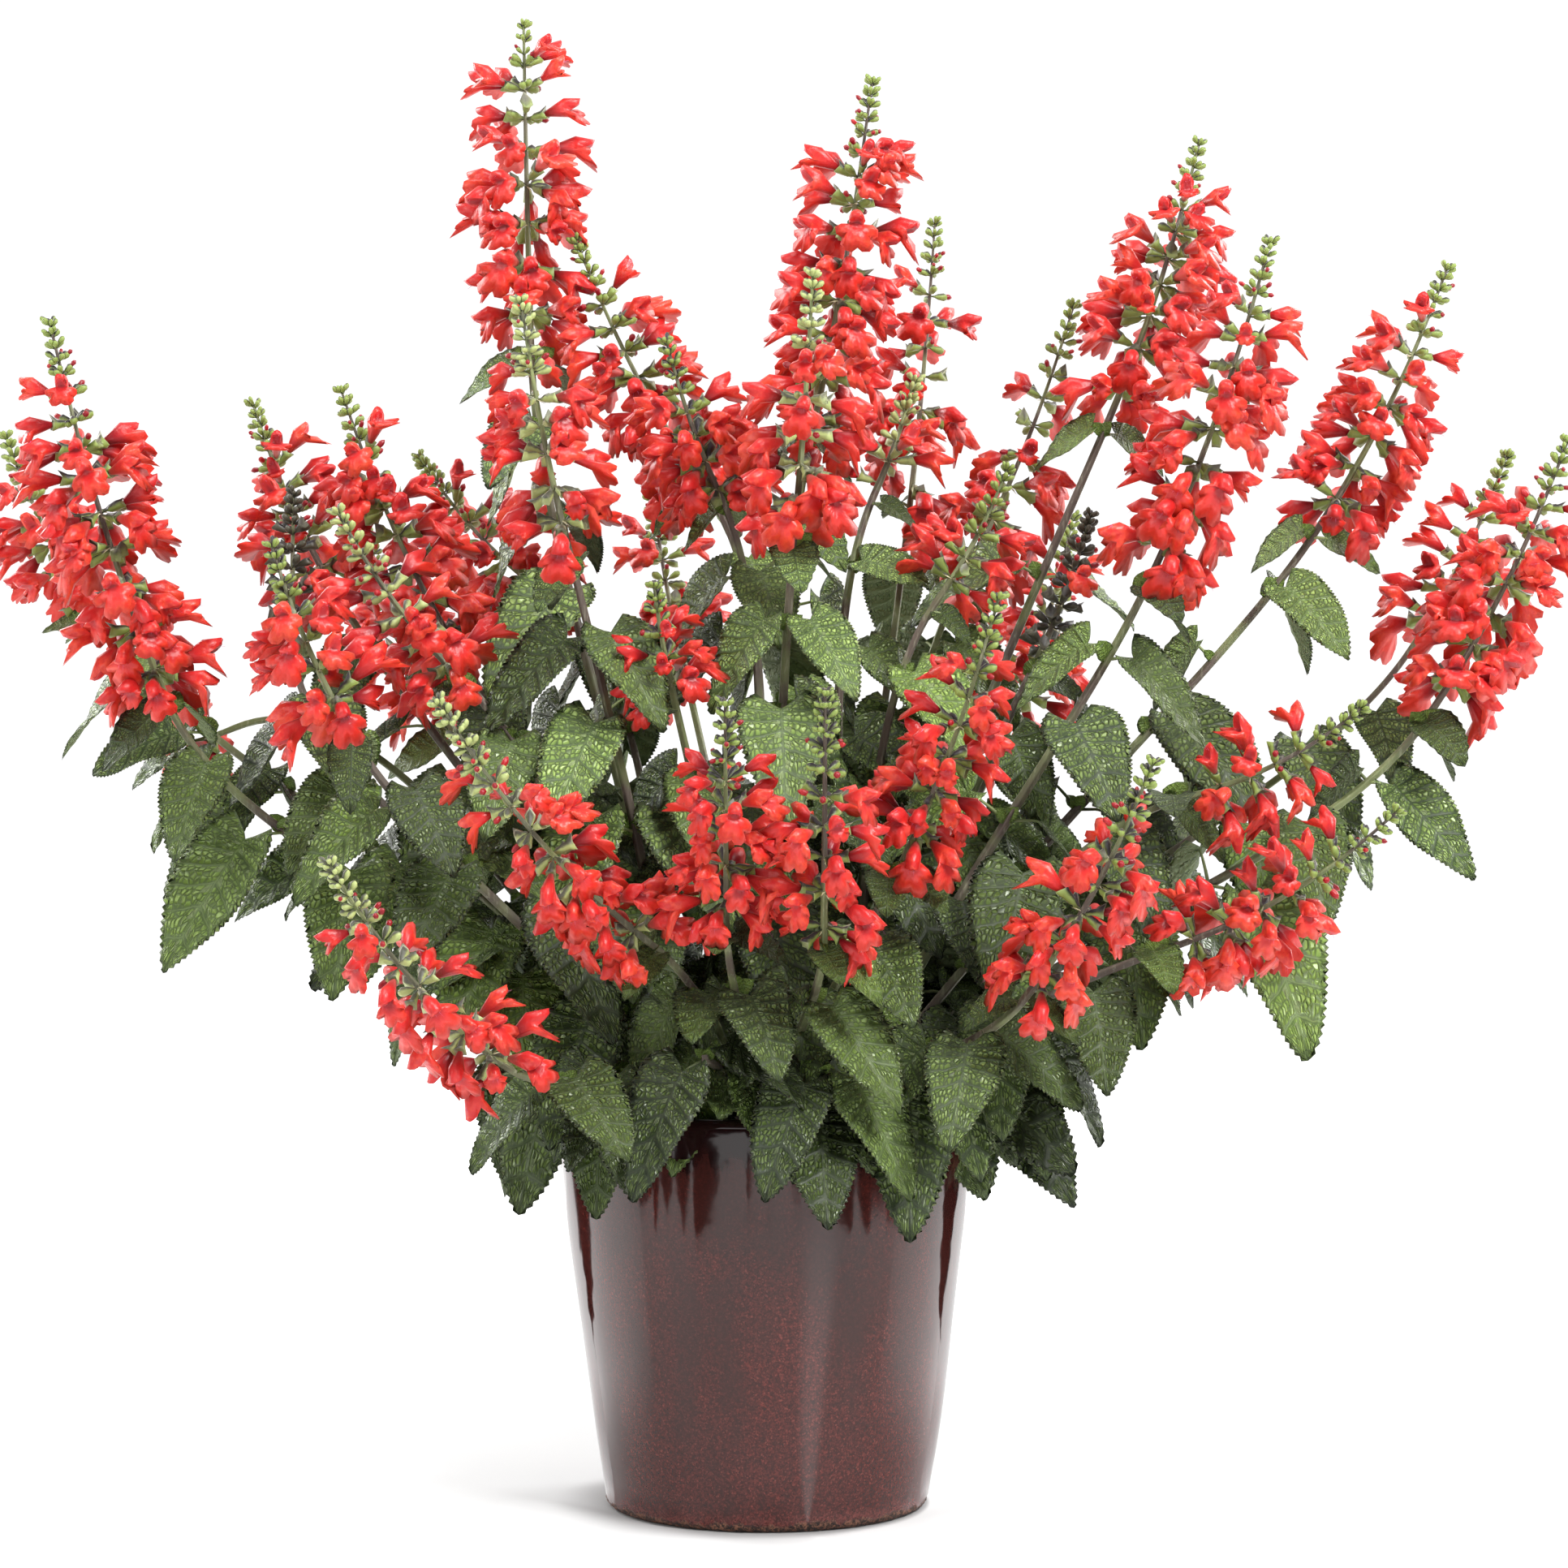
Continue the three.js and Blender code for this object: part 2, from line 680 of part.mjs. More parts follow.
// The leafy stem under a raceme: a square stalk with leaves in opposite pairs, each pair a quarter
// turn from the next
function stalk(stem, number, sizes, inLeaf) {
  const path = paths(stem).stalk;
  const length = path.getLength();
  const skin = new Skin();
  const width = (share) => mix(stemWidth.root, stemWidth.foot, share);
  const ringAt = (share) => squareRing(skin, frameAt(path, share, stem.turn), width(share));
  const half = leaf.band / 2 / length;
  let reached = 0;
  let last = ringAt(reached);
  skin.cap([...last].reverse());
  [...stem.pairs].reverse().forEach((order) => {
    const pair = sizes[order];
    const share = 1 - pair.down / length;
    if (share < leaf.lowestShare) return;
    const frame = frameAt(path, share, stem.turn);
    const low = climb(skin, ringAt, length, last, reached, share - half);
    reached = share + half;
    last = ringAt(reached);
    for (let side = 0; side < 4; side += 1) {
      const loop = sideLoop(low, last, side);
      const root = loop.map((k) => skin.points[k]);
      const wanted = inLeaf && side % 2 === order % 2;
      const points = wanted ? findLeaf(frame, pair, side * 90, root, number) : null;
      if (points) {
        const end = skin.ring(points.stalkEnd);
        skin.walls(loop, end);
        layBlade(skin, end, points);
      } else {
        skin.cap(loop);
      }
    }
  });
  skin.cap(climb(skin, ringAt, length, last, reached, 1 - racemeGap / length));
  return skin.solid();
}

// An upright cylinder or cone round a centre
function upright(topRadius, bottomRadius, height, sides, centre) {
  const geometry = new THREE.CylinderGeometry(topRadius, bottomRadius, height, sides);
  return solidOf(geometry.rotateX(Math.PI / 2).translate(centre.x, centre.y, centre.z));
}

// The pot's outer radius at a height
function potRadius(z) {
  if (z < pot.bellyHeight) {
    const share = (z - pot.heelHeight) / (pot.bellyHeight - pot.heelHeight);
    return mix(pot.heelRadius, pot.bellyRadius, share);
  }
  const share = (z - pot.bellyHeight) / (pot.height - pot.bellyHeight);
  return mix(pot.bellyRadius, pot.rimRadius, share);
}

// The pot is turned on a wheel, with a rounded lip and a few drain holes
function potSolid() {
  const inside = (z) => potRadius(z) - pot.wall;
  const profile = [
    [0, 0],
    [pot.baseRadius, 0],
    [pot.heelRadius, pot.heelHeight],
    [pot.bellyRadius, pot.bellyHeight],
    [pot.rimRadius, pot.height - pot.lipRadius],
    [pot.rimRadius - pot.lipRadius, pot.height],
    [inside(pot.height) + pot.lipInside, pot.height],
    [inside(pot.height - pot.lipDepth), pot.height - pot.lipDepth],
    [inside(pot.bellyHeight), pot.bellyHeight],
    [inside(pot.floor), pot.floor],
    [0, pot.floor],
  ].map(([r, z]) => new THREE.Vector2(r, z));
  let solid = solidOf(new THREE.LatheGeometry(profile, pot.sides).rotateX(Math.PI / 2));
  for (let i = 0; i < pot.drainCount; i += 1) {
    const angle = (i / pot.drainCount) * 2 * Math.PI;
    const centre = at(pot.drainRing * Math.cos(angle), pot.drainRing * Math.sin(angle), 0);
    solid = solid.subtract(
      upright(pot.drainRadius, pot.drainRadius, pot.floor * 3, pot.drainSides, centre),
    );
  }
  return solid;
}

// Soil with a plain hole for each crown
function soilSolid() {
  const shrink = Math.cos(Math.PI / pot.sides);
  const inside = (z) => (potRadius(z) - pot.wall) * shrink - soil.gap;
  const bottom = pot.floor + soil.gap;
  const profile = [
    [0, bottom],
    [inside(bottom), bottom],
    [inside(pot.bellyHeight), pot.bellyHeight],
    [inside(soil.top), soil.top],
    [0, soil.top + soil.dome],
  ].map(([r, z]) => new THREE.Vector2(r, z));
  let solid = solidOf(new THREE.LatheGeometry(profile, soil.sides).rotateX(Math.PI / 2));
  for (let i = 0; i <= crown.ringCount; i += 1) solid = solid.subtract(crownHole(i));
  return solid;
}

function crownSolid(index) {
  const centre = crownCentre(index).addScaledVector(up, (crown.rise - crown.depth) / 2);
  const height = crown.rise + crown.depth;
  return upright(crown.radius * crown.taper, crown.radius, height, crown.sides, centre);
}

function crownHole(index) {
  const radius = crown.radius + crown.gap;
  const height = 2 * (crown.depth + crown.gap);
  return upright(radius, radius, height, crown.sides, crownCentre(index));
}

// Put together in the order in which pieces have to keep clear of each other
const sage = new THREE.Group();
const paint = (color, roughness) =>
  new THREE.MeshStandardMaterial({ color, roughness, metalness: 0 });
const glaze = paint(0x4a2420, 0.15);
const earth = paint(0x2c1d14, 0.95);
const green = paint(0x2f5a26, 0.6);
const scarlet = paint(0xe2231a, 0.45);

function addMesh(name, solid, material) {
  const mesh = new THREE.Mesh(geometryOf(solid), material);
  mesh.name = name;
  sage.add(mesh);
}

const potBody = potSolid();
const soilBody = soilSolid();
addMesh("pot", potBody, glaze);
addMesh("soil", soilBody, earth);
place(potBody, potBody, "pot");
place(soilBody, soilBody, "soil");

const clumps = Array.from({ length: crown.ringCount + 1 }, (_, index) => crownSolid(index));
clumps.forEach((clump, index) => place(clump, clump, `crown_${index}`));

const leafyStems = [
  ...stems.map((stem) => ({ stem, sizes: leafPairs })),
  ...shoots.map((shoot) => ({ stem: shootStem(shoot), sizes: shootPairs })),
];
leafyStems.forEach(({ stem, sizes }, number) => {
  const bare = stalk(stem, number, sizes, false);
  place(bare, bare, stalkName(number));
});
stems.forEach((stem, number) => {
  const bare = raceme(stem, number, false);
  place(bare, bare, racemeName(number));
});

stems.forEach((stem, number) => {
  addMesh(racemeName(number), raceme(stem, number, true), scarlet);
});

leafyStems.forEach(({ stem, sizes }, number) => {
  const index = crownOf(stem);
  clumps[index] = clumps[index].add(stalk(stem, number, sizes, true));
});
clumps.forEach((clump, index) => addMesh(`leafy_stems_${index + 1}`, clump, green));

export default sage;
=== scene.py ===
import json
import math

import bpy
import numpy as np
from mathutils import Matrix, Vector

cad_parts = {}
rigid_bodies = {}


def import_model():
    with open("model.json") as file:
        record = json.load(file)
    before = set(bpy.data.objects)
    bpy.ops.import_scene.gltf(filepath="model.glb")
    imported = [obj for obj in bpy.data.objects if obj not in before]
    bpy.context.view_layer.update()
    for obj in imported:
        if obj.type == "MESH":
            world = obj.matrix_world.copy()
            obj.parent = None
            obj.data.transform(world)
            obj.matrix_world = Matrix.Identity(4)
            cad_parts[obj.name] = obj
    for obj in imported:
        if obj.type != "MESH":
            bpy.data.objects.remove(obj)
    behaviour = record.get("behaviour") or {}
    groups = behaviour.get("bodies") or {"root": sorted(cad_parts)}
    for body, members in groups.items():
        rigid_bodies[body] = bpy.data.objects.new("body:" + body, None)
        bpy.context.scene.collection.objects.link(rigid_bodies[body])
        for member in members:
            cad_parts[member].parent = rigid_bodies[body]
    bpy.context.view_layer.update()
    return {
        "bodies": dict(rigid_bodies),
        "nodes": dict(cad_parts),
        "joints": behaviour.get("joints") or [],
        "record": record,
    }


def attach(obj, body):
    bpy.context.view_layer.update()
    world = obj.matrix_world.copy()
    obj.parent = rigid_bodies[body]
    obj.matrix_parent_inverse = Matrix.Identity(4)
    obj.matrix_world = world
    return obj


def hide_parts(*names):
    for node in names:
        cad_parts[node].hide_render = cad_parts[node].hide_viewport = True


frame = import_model()
scene = bpy.context.scene
mm = 0.001
up = np.array([0.0, 0.0, 1.0])


# Node graphs

# A socket that takes part in sums: a + b, 1 - a and so on add Math nodes
class Value:
    def __init__(self, graph, socket):
        self.graph = graph
        self.socket = socket

    def __add__(self, other):
        return self.graph.math("ADD", self, other)

    def __radd__(self, other):
        return self.graph.math("ADD", other, self)

    def __sub__(self, other):
        return self.graph.math("SUBTRACT", self, other)

    def __rsub__(self, other):
        return self.graph.math("SUBTRACT", other, self)

    def __mul__(self, other):
        return self.graph.math("MULTIPLY", self, other)

    def __rmul__(self, other):
        return self.graph.math("MULTIPLY", other, self)

    def __truediv__(self, other):
        return self.graph.math("DIVIDE", self, other)


# A node tree that is filled in from Python expressions
class Graph:
    def __init__(self, tree):
        self.tree = tree

    # Any node: its type, its settings, then the values or links of its sockets
    def node(self, kind, settings=None, sockets=None, output=0):
        node = self.tree.nodes.new(kind)
        for name, setting in (settings or {}).items():
            setattr(node, name, setting)
        for name, given in (sockets or {}).items():
            if isinstance(given, Value):
                self.tree.links.new(given.socket, node.inputs[name])
            else:
                node.inputs[name].default_value = given
        return Value(self, node.outputs[output]) if node.outputs else None

    # Another output of the node that a value comes from
    def other(self, value, output):
        return Value(self, value.socket.node.outputs[output])

    def math(self, operation, a, b=0.0, clamp=False):
        settings = {"operation": operation, "use_clamp": clamp}
        return self.node("ShaderNodeMath", settings, {0: a, 1: b})

    def vectorMath(self, operation, a, b=None, output=0):
        sockets = {0: a} if b is None else {0: a, 1: b}
        return self.node("ShaderNodeVectorMath", {"operation": operation}, sockets, output)

    def scaled(self, vector, factor):
        settings = {"operation": "SCALE"}
        return self.node("ShaderNodeVectorMath", settings, {"Vector": vector, "Scale": factor})

    def vector(self, x, y, z):
        return self.node("ShaderNodeCombineXYZ", None, {0: x, 1: y, 2: z})

    def split(self, vector):
        x = self.node("ShaderNodeSeparateXYZ", None, {0: vector})
        return x, self.other(x, 1), self.other(x, 2)

    # From low to high, 0 to 1
    def ramp(self, value, low, high, smooth=True):
        settings = {"interpolation_type": "SMOOTHSTEP" if smooth else "LINEAR"}
        sockets = {"Value": value, "From Min": low, "From Max": high}
        return self.node("ShaderNodeMapRange", settings, sockets)


# A material whose colour is laid in coats. The first of its named colours is the ground.
class Paint(Graph):
    def __init__(self, name, colours=None):
        self.colours = colours or {}
        self.colour = next(iter(self.colours.values()), None)
        self.material = bpy.data.materials.new(name)
        self.material.use_nodes = True
        super().__init__(self.material.node_tree)
        self.tree.nodes.clear()

    def mix(self, mask, a, b):
        sockets = {0: mask}
        for name, colour in ((6, a), (7, b)):
            sockets[name] = colour if isinstance(colour, Value) else (*colour, 1)
        return self.node("ShaderNodeMix", {"data_type": "RGBA"}, sockets, 2)

    # Lays a named colour, or any other, over the colour so far
    def coat(self, mask, colour):
        self.colour = self.mix(mask, self.colour, self.colours.get(colour, colour))

    def attribute(self, name, output="Vector"):
        return self.node("ShaderNodeAttribute", {"attribute_name": name}, None, output)

    def place(self, scale=(1, 1, 1)):
        spot = self.node("ShaderNodeTexCoord", None, None, "Object")
        return self.vectorMath("MULTIPLY", spot, scale)

    # Distance from the middle, seen from above
    def away(self):
        return self.vectorMath("LENGTH", self.place((1, 1, 0)), None, "Value")

    # From a surface seen square on, 0, to one seen edge on, 1
    def edge(self, blend):
        return self.node("ShaderNodeLayerWeight", None, {"Blend": blend}, "Facing")

    def noise(self, vector, scale, detail=3, roughness=0.5):
        sockets = {"Vector": vector, "Scale": scale, "Detail": detail, "Roughness": roughness}
        return self.node("ShaderNodeTexNoise", None, sockets)

    def bump(self, height, strength, distance):
        sockets = {"Height": height, "Strength": strength, "Distance": distance}
        return self.node("ShaderNodeBump", None, sockets)

    def finish(self, sockets):
        sockets = {"Base Color": self.colour, **sockets}
        surface = self.node("ShaderNodeBsdfPrincipled", None, sockets)
        self.node("ShaderNodeOutputMaterial", None, {"Surface": surface})
        return self.material


# A Geometry Nodes tree with named inputs. run() puts it on a mesh and gives back the plain result.
class Growth(Graph):
    kinds = {
        float: "NodeSocketFloat",
        int: "NodeSocketInt",
        bpy.types.Collection: "NodeSocketCollection",
        bpy.types.Material: "NodeSocketMaterial",
    }

    def __init__(self, name, inputs):
        super().__init__(bpy.data.node_groups.new(name, "GeometryNodeTree"))
        face = self.tree.interface
        face.new_socket("Geometry", in_out="INPUT", socket_type="NodeSocketGeometry")
        face.new_socket("Geometry", in_out="OUTPUT", socket_type="NodeSocketGeometry")
        self.identifiers = {}
        for label, given in inputs.items():
            kind = given if isinstance(given, type) else type(given)
            socket = face.new_socket(label, in_out="INPUT", socket_type=self.kinds[kind])
            if kind in (float, int):
                socket.default_value = given
            self.identifiers[label] = socket.identifier
        self.entry = self.node("NodeGroupInput")

    def input(self, label):
        return self.other(self.entry, label)

    # A draw from low to high for each item, parted from the tree's other draws by its number
    def random(self, low, high, number, kind="FLOAT"):
        first, output = (2, 1) if kind == "FLOAT" else (4, 2)
        sockets = {first: low, first + 1: high, "Seed": self.input("Seed") + number}
        return self.node("FunctionNodeRandomValue", {"data_type": kind}, sockets, output)

    def attribute(self, name):
        settings = {"data_type": "FLOAT_VECTOR"}
        return self.node("GeometryNodeInputNamedAttribute", settings, {"Name": name})

    # The incoming line as a curve whose normal is the way that its first side faces
    def facedLine(self):
        line = self.node("GeometryNodeMeshToCurve", None, {"Mesh": self.input("Geometry")})
        sockets = {"Curve": line, "Normal": self.attribute("facing")}
        return self.node("GeometryNodeSetCurveNormal", {"mode": "FREE"}, sockets)

    def finish(self, instances):
        real = self.node("GeometryNodeRealizeInstances", None, {"Geometry": instances})
        sockets = {"Geometry": real, "Material": self.input("Material")}
        painted = self.node("GeometryNodeSetMaterial", None, sockets)
        self.node("NodeGroupOutput", None, {0: painted})

    def run(self, mesh, values):
        thing = addObject("growing", mesh)
        modifier = thing.modifiers.new("growth", "NODES")
        modifier.node_group = self.tree
        for label, value in values.items():
            modifier[self.identifiers[label]] = value
        result = shapedMesh(thing)
        bpy.data.objects.remove(thing)
        return result


# Meshes

# Vectors that a mesh holds for each of its points
def addReads(mesh, reads):
    for name, values in reads.items():
        attribute = mesh.attributes.new(name, "FLOAT_VECTOR", "POINT")
        attribute.data.foreach_set("vector", np.array(values, np.float32).ravel())


# Points and faces of one piece, with what its material reads of each point
class Skin:
    def __init__(self):
        self.points = []
        self.faces = []
        self.reads = {}
        self.count = 0

    def add(self, points, faces, **reads):
        self.points.append(np.asarray(points, float))
        self.faces.extend([[self.count + k for k in face] for face in faces])
        for name, values in reads.items():
            self.reads.setdefault(name, []).append(np.asarray(values, float))
        self.count += len(points)
        return self

    def mesh(self, name, material=None):
        mesh = bpy.data.meshes.new(name)
        mesh.from_pydata(np.concatenate(self.points).tolist(), [], self.faces)
        addReads(mesh, {label: np.concatenate(parts) for label, parts in self.reads.items()})
        mesh.polygons.foreach_set("use_smooth", [True] * len(mesh.polygons))
        mesh.update()
        if material:
            mesh.materials.append(material)
        return mesh


def addObject(name, data):
    thing = bpy.data.objects.new(name, data)
    scene.collection.objects.link(thing)
    return thing


# The mesh that an object's modifiers make
def shapedMesh(thing):
    return bpy.data.meshes.new_from_object(thing.evaluated_get(bpy.context.evaluated_depsgraph_get()))


# A finished piece of the part
def addPiece(name, mesh, replaced):
    piece = addObject(name, mesh)
    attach(piece, "root")
    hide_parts(*replaced)


def joinMeshes(name, meshes):
    things = [addObject(name, mesh) for mesh in meshes]
    with bpy.context.temp_override(active_object=things[0], selected_editable_objects=things):
        bpy.ops.object.join()
    joined = things[0].data
    joined.name = name
    bpy.data.objects.remove(things[0])
    return joined


def unit(vector):
    return vector / np.linalg.norm(vector)


# Angles of points evenly round a circle
def circle(count):
    return np.arange(count) / count * 2 * math.pi


sun = unit(np.array([0.0, -1.0, 0.5]))  # the way that leaves turn to


# Walls between closed rings of equal count, each counterclockwise seen from the far end
def ringWalls(rings, count):
    faces = []
    for near, far in zip(rings, rings[1:]):
        for k in range(count):
            after = (k + 1) % count
            faces.append([near + k, near + after, far + after, far + k])
    return faces


def tipFan(start, count, apex):
    return [[start + k, start + (k + 1) % count, apex] for k in range(count)]


def endCap(start, count, flip=False):
    ring = [start + k for k in range(count)]
    return [ring[::-1] if flip else ring]


# Level ring of points at a distance from the Z axis
def levelRing(angles, reach, height):
    return np.stack([reach * np.cos(angles), reach * np.sin(angles), height + 0 * angles], axis=1)


# Points and faces of rings of equal count round the Z axis, with a pole below and one above them
def poledShape(rings, low, high):
    count, total = len(rings[0]), len(rings[0]) * len(rings)
    starts = range(0, total, count)
    under = [face[::-1] for face in tipFan(0, count, total)]
    faces = ringWalls(starts, count) + under + tipFan(starts[-1], count, total + 1)
    return [*np.concatenate(rings), low, high], faces


# Rings of equal count round the X axis that end in an apex, closed flat at their start
def pointedShape(rings, apex):
    count = len(rings[0])
    points = np.array([*np.concatenate(rings), apex])
    starts = [count * k for k in range(len(rings))]
    faces = ringWalls(starts, count) + tipFan(starts[-1], count, len(points) - 1) + endCap(0, count, True)
    return points * mm, [face[::-1] for face in faces]


# Pot

potSizes = {
    "floor": 0.010,
    "sides": 144,
    "drainRadius": 0.006,
    "drainRing": 0.045,
    "drainCount": 3,
    "drainSides": 32,
    "wobble": 0.0005,
    "chip": 0.0007,
    "bareHeight": 0.0035,
    "seed": 5,
}

# Outer and inner outline, radius and height, from the middle of the underside to that of the floor
potOutline = [
    (0.000, 0.0), (0.030, 0.0), (0.060, 0.0), (0.0842, 0.0), (0.0868, 0.0006), (0.0882, 0.0018),
    (0.0888, 0.0034), (0.0893, 0.006), (0.0914, 0.018), (0.0938, 0.032), (0.0962, 0.048),
    (0.0984, 0.064), (0.1003, 0.079), (0.1026, 0.098), (0.1048, 0.115), (0.1071, 0.133),
    (0.1093, 0.150), (0.1115, 0.168), (0.1136, 0.184), (0.1158, 0.200), (0.1177, 0.212),
    (0.1186, 0.2165), (0.1188, 0.2185), (0.1182, 0.2205), (0.1168, 0.2217), (0.1148, 0.222),
    (0.1128, 0.2215), (0.1116, 0.2198), (0.1108, 0.216), (0.1085, 0.200), (0.1040, 0.165),
    (0.0990, 0.125), (0.0950, 0.098), (0.0905, 0.060), (0.0852, 0.016), (0.0835, 0.0112),
    (0.0805, 0.010), (0.050, 0.010), (0.000, 0.010),
]

glazeColours = {
    "deep": (0.020, 0.005, 0.004),
    "red": (0.135, 0.020, 0.015),
    "violet": (0.038, 0.013, 0.011),
    "fleck": (0.30, 0.09, 0.06),
    # near-black band below the rim: painted shadow and painted reflection of the leaves
    "rim": (0.010, 0.003, 0.003),
    "foot": (0.17, 0.040, 0.034),
    "clay": (0.20, 0.085, 0.05),
    "chip": (0.012, 0.007, 0.006),
}


def glazePaint():
    paint = Paint("glaze", glazeColours)
    spot = paint.place()
    height = paint.split(spot)[2]
    streaks = paint.noise(paint.place((1, 1, 0.35)), 34, 4, 0.6)
    clouds = paint.noise(spot, 14, 3, 0.55)
    grain = paint.noise(spot, 500, 4, 0.8)
    # Grains of random brightness about a millimetre wide
    sockets = {"Vector": paint.place((1, 1, 0.8)), "Scale": 1350}
    bits = paint.split(paint.node("ShaderNodeTexVoronoi", None, sockets, "Color"))[0]
    redness = paint.ramp(streaks + clouds * 0.5 - height * 1.3, 0.36, 0.74)
    speckle = (0.2 + 0.7 * bits * bits) * (0.3 + redness * 0.7) * (0.2 + paint.ramp(grain, 0.35, 0.65))
    paint.coat(speckle, "red")
    paint.coat((1 - redness) * 0.5, "violet")
    paint.coat(paint.ramp(bits, 0.92, 0.99) * redness * 0.15, "fleck")
    # Below the rim a ragged near-black band paints the leaves' shadow and their dark reflection into the
    # glaze, and the foot is bare clay below a ragged line
    ragged = paint.noise(paint.place((1, 1, 0.3)), 90, 4, 0.7)
    paint.coat(paint.ramp(height + (ragged - 0.5) * 0.05, 0.192, 0.205), "rim")
    low = height + (ragged - 0.5) * 0.012
    paint.coat(paint.ramp(low, 0.011, 0.006) * 0.6 * bits, "foot")
    bare = paint.ramp(low, 0.0056, 0.0030)
    clay = paint.mix(paint.ramp(grain, 0.45, 0.6), glazeColours["chip"], glazeColours["clay"])
    paint.coat(bare, clay)
    ripple = paint.noise(paint.place((1, 1, 0.5)), 60, 3, 0.5)
    return paint.finish({
        "Roughness": 0.06 + bare * 0.6 + paint.ramp(clouds, 0.4, 0.7) * 0.05,
        "IOR": 1.45,
        "Normal": paint.bump(ripple + bare * grain * 2, 0.10, 0.0012),
    })


def makePot():
    sides = potSizes["sides"]
    angles = circle(sides)
    wave = np.sin(angles * 3 + 0.7) + 0.6 * np.sin(angles * 5 + 2.1)
    rough = np.random.default_rng(potSizes["seed"]).uniform(-1, 1, (len(potOutline), sides))
    rings = []
    for row, (radius, height) in enumerate(potOutline[1:-1], 1):
        wobble = potSizes["wobble"] * wave * math.sin(height * 31) * (radius > 0.08)
        chip = potSizes["chip"] * rough[row] * (0.0001 < height < potSizes["bareHeight"])
        rings.append(levelRing(angles, radius + wobble + chip, height + np.maximum(0, chip) * 0.8))
    skin = Skin().add(*poledShape(rings, (0, 0, 0), (0, 0, potSizes["floor"])))
    pot = addObject("potShape", skin.mesh("potShape"))
    drills = []
    ring, floor = potSizes["drainRing"], potSizes["floor"]
    for angle in circle(potSizes["drainCount"]):
        bpy.ops.mesh.primitive_cylinder_add(
            vertices=potSizes["drainSides"],
            radius=potSizes["drainRadius"],
            depth=floor * 3,
            location=(ring * math.cos(angle), ring * math.sin(angle), floor / 2),
        )
        drill = bpy.context.object
        drills.append(drill)
        cut = pot.modifiers.new("drain", "BOOLEAN")
        cut.object = drill
        cut.solver = "EXACT"
    mesh = shapedMesh(pot)
    for thing in [pot, *drills]:
        bpy.data.objects.remove(thing)
    mesh.materials.clear()
    mesh.materials.append(glazePaint())
    addPiece("glazed_pot", mesh, ["pot"])


# Soil

soilSizes = {
    "top": 0.204,
    "dome": 0.003,
    "rings": 34,
    "sides": 96,
    "crumb": 0.0016,
    "bottom": 0.0104,
    "edge": 0.1088,
    "clearance": 0.0006,
    "inset": 0.0005,
    "bevel": 0.004,
    "seed": 11,
}

soilColours = {
    "dark": (0.012, 0.008, 0.005),
    "crumb": (0.07, 0.042, 0.025),
    "bark": (0.13, 0.085, 0.05),
}


def soilPaint():
    paint = Paint("potting soil", soilColours)
    spot = paint.place()
    crumbs = paint.noise(spot, 260, 5, 0.7)
    bark = paint.noise(spot, 70, 3, 0.6)
    paint.coat(paint.ramp(crumbs, 0.35, 0.7), "crumb")
    paint.coat(paint.ramp(bark, 0.62, 0.72), "bark")
    return paint.finish({"Roughness": 0.95, "Normal": paint.bump(crumbs, 0.8, 0.002)})


def makeSoil():
    angles = circle(soilSizes["sides"])
    draws = np.random.default_rng(soilSizes["seed"])
    wall = potOutline[-4:-11:-1]  # the pot's inner wall beside the soil, from the bottom up
    names = ("top", "bottom", "edge", "clearance", "inset")
    top, bottom, edge, gap, inset = (soilSizes[name] for name in names)
    rings = []

    def ring(radius, height, crumb=0.0):
        rings.append(levelRing(angles, radius, height + draws.uniform(-1, 1, len(angles)) * crumb))

    ring(wall[0][0] - gap - soilSizes["bevel"], bottom)
    for radius, height in wall:
        ring(radius - gap - inset, max(height, bottom + inset))
    ring(edge - gap - inset, top)
    for step in range(1, soilSizes["rings"]):
        share = 1 - step / soilSizes["rings"]
        ring((edge - gap) * share, top + soilSizes["dome"] * (1 - share * share), soilSizes["crumb"])
    skin = Skin().add(*poledShape(rings, (0, 0, bottom), (0, 0, top + soilSizes["dome"])))
    addPiece("soil_bed", skin.mesh("soil bed", soilPaint()), ["soil"])


# Stems

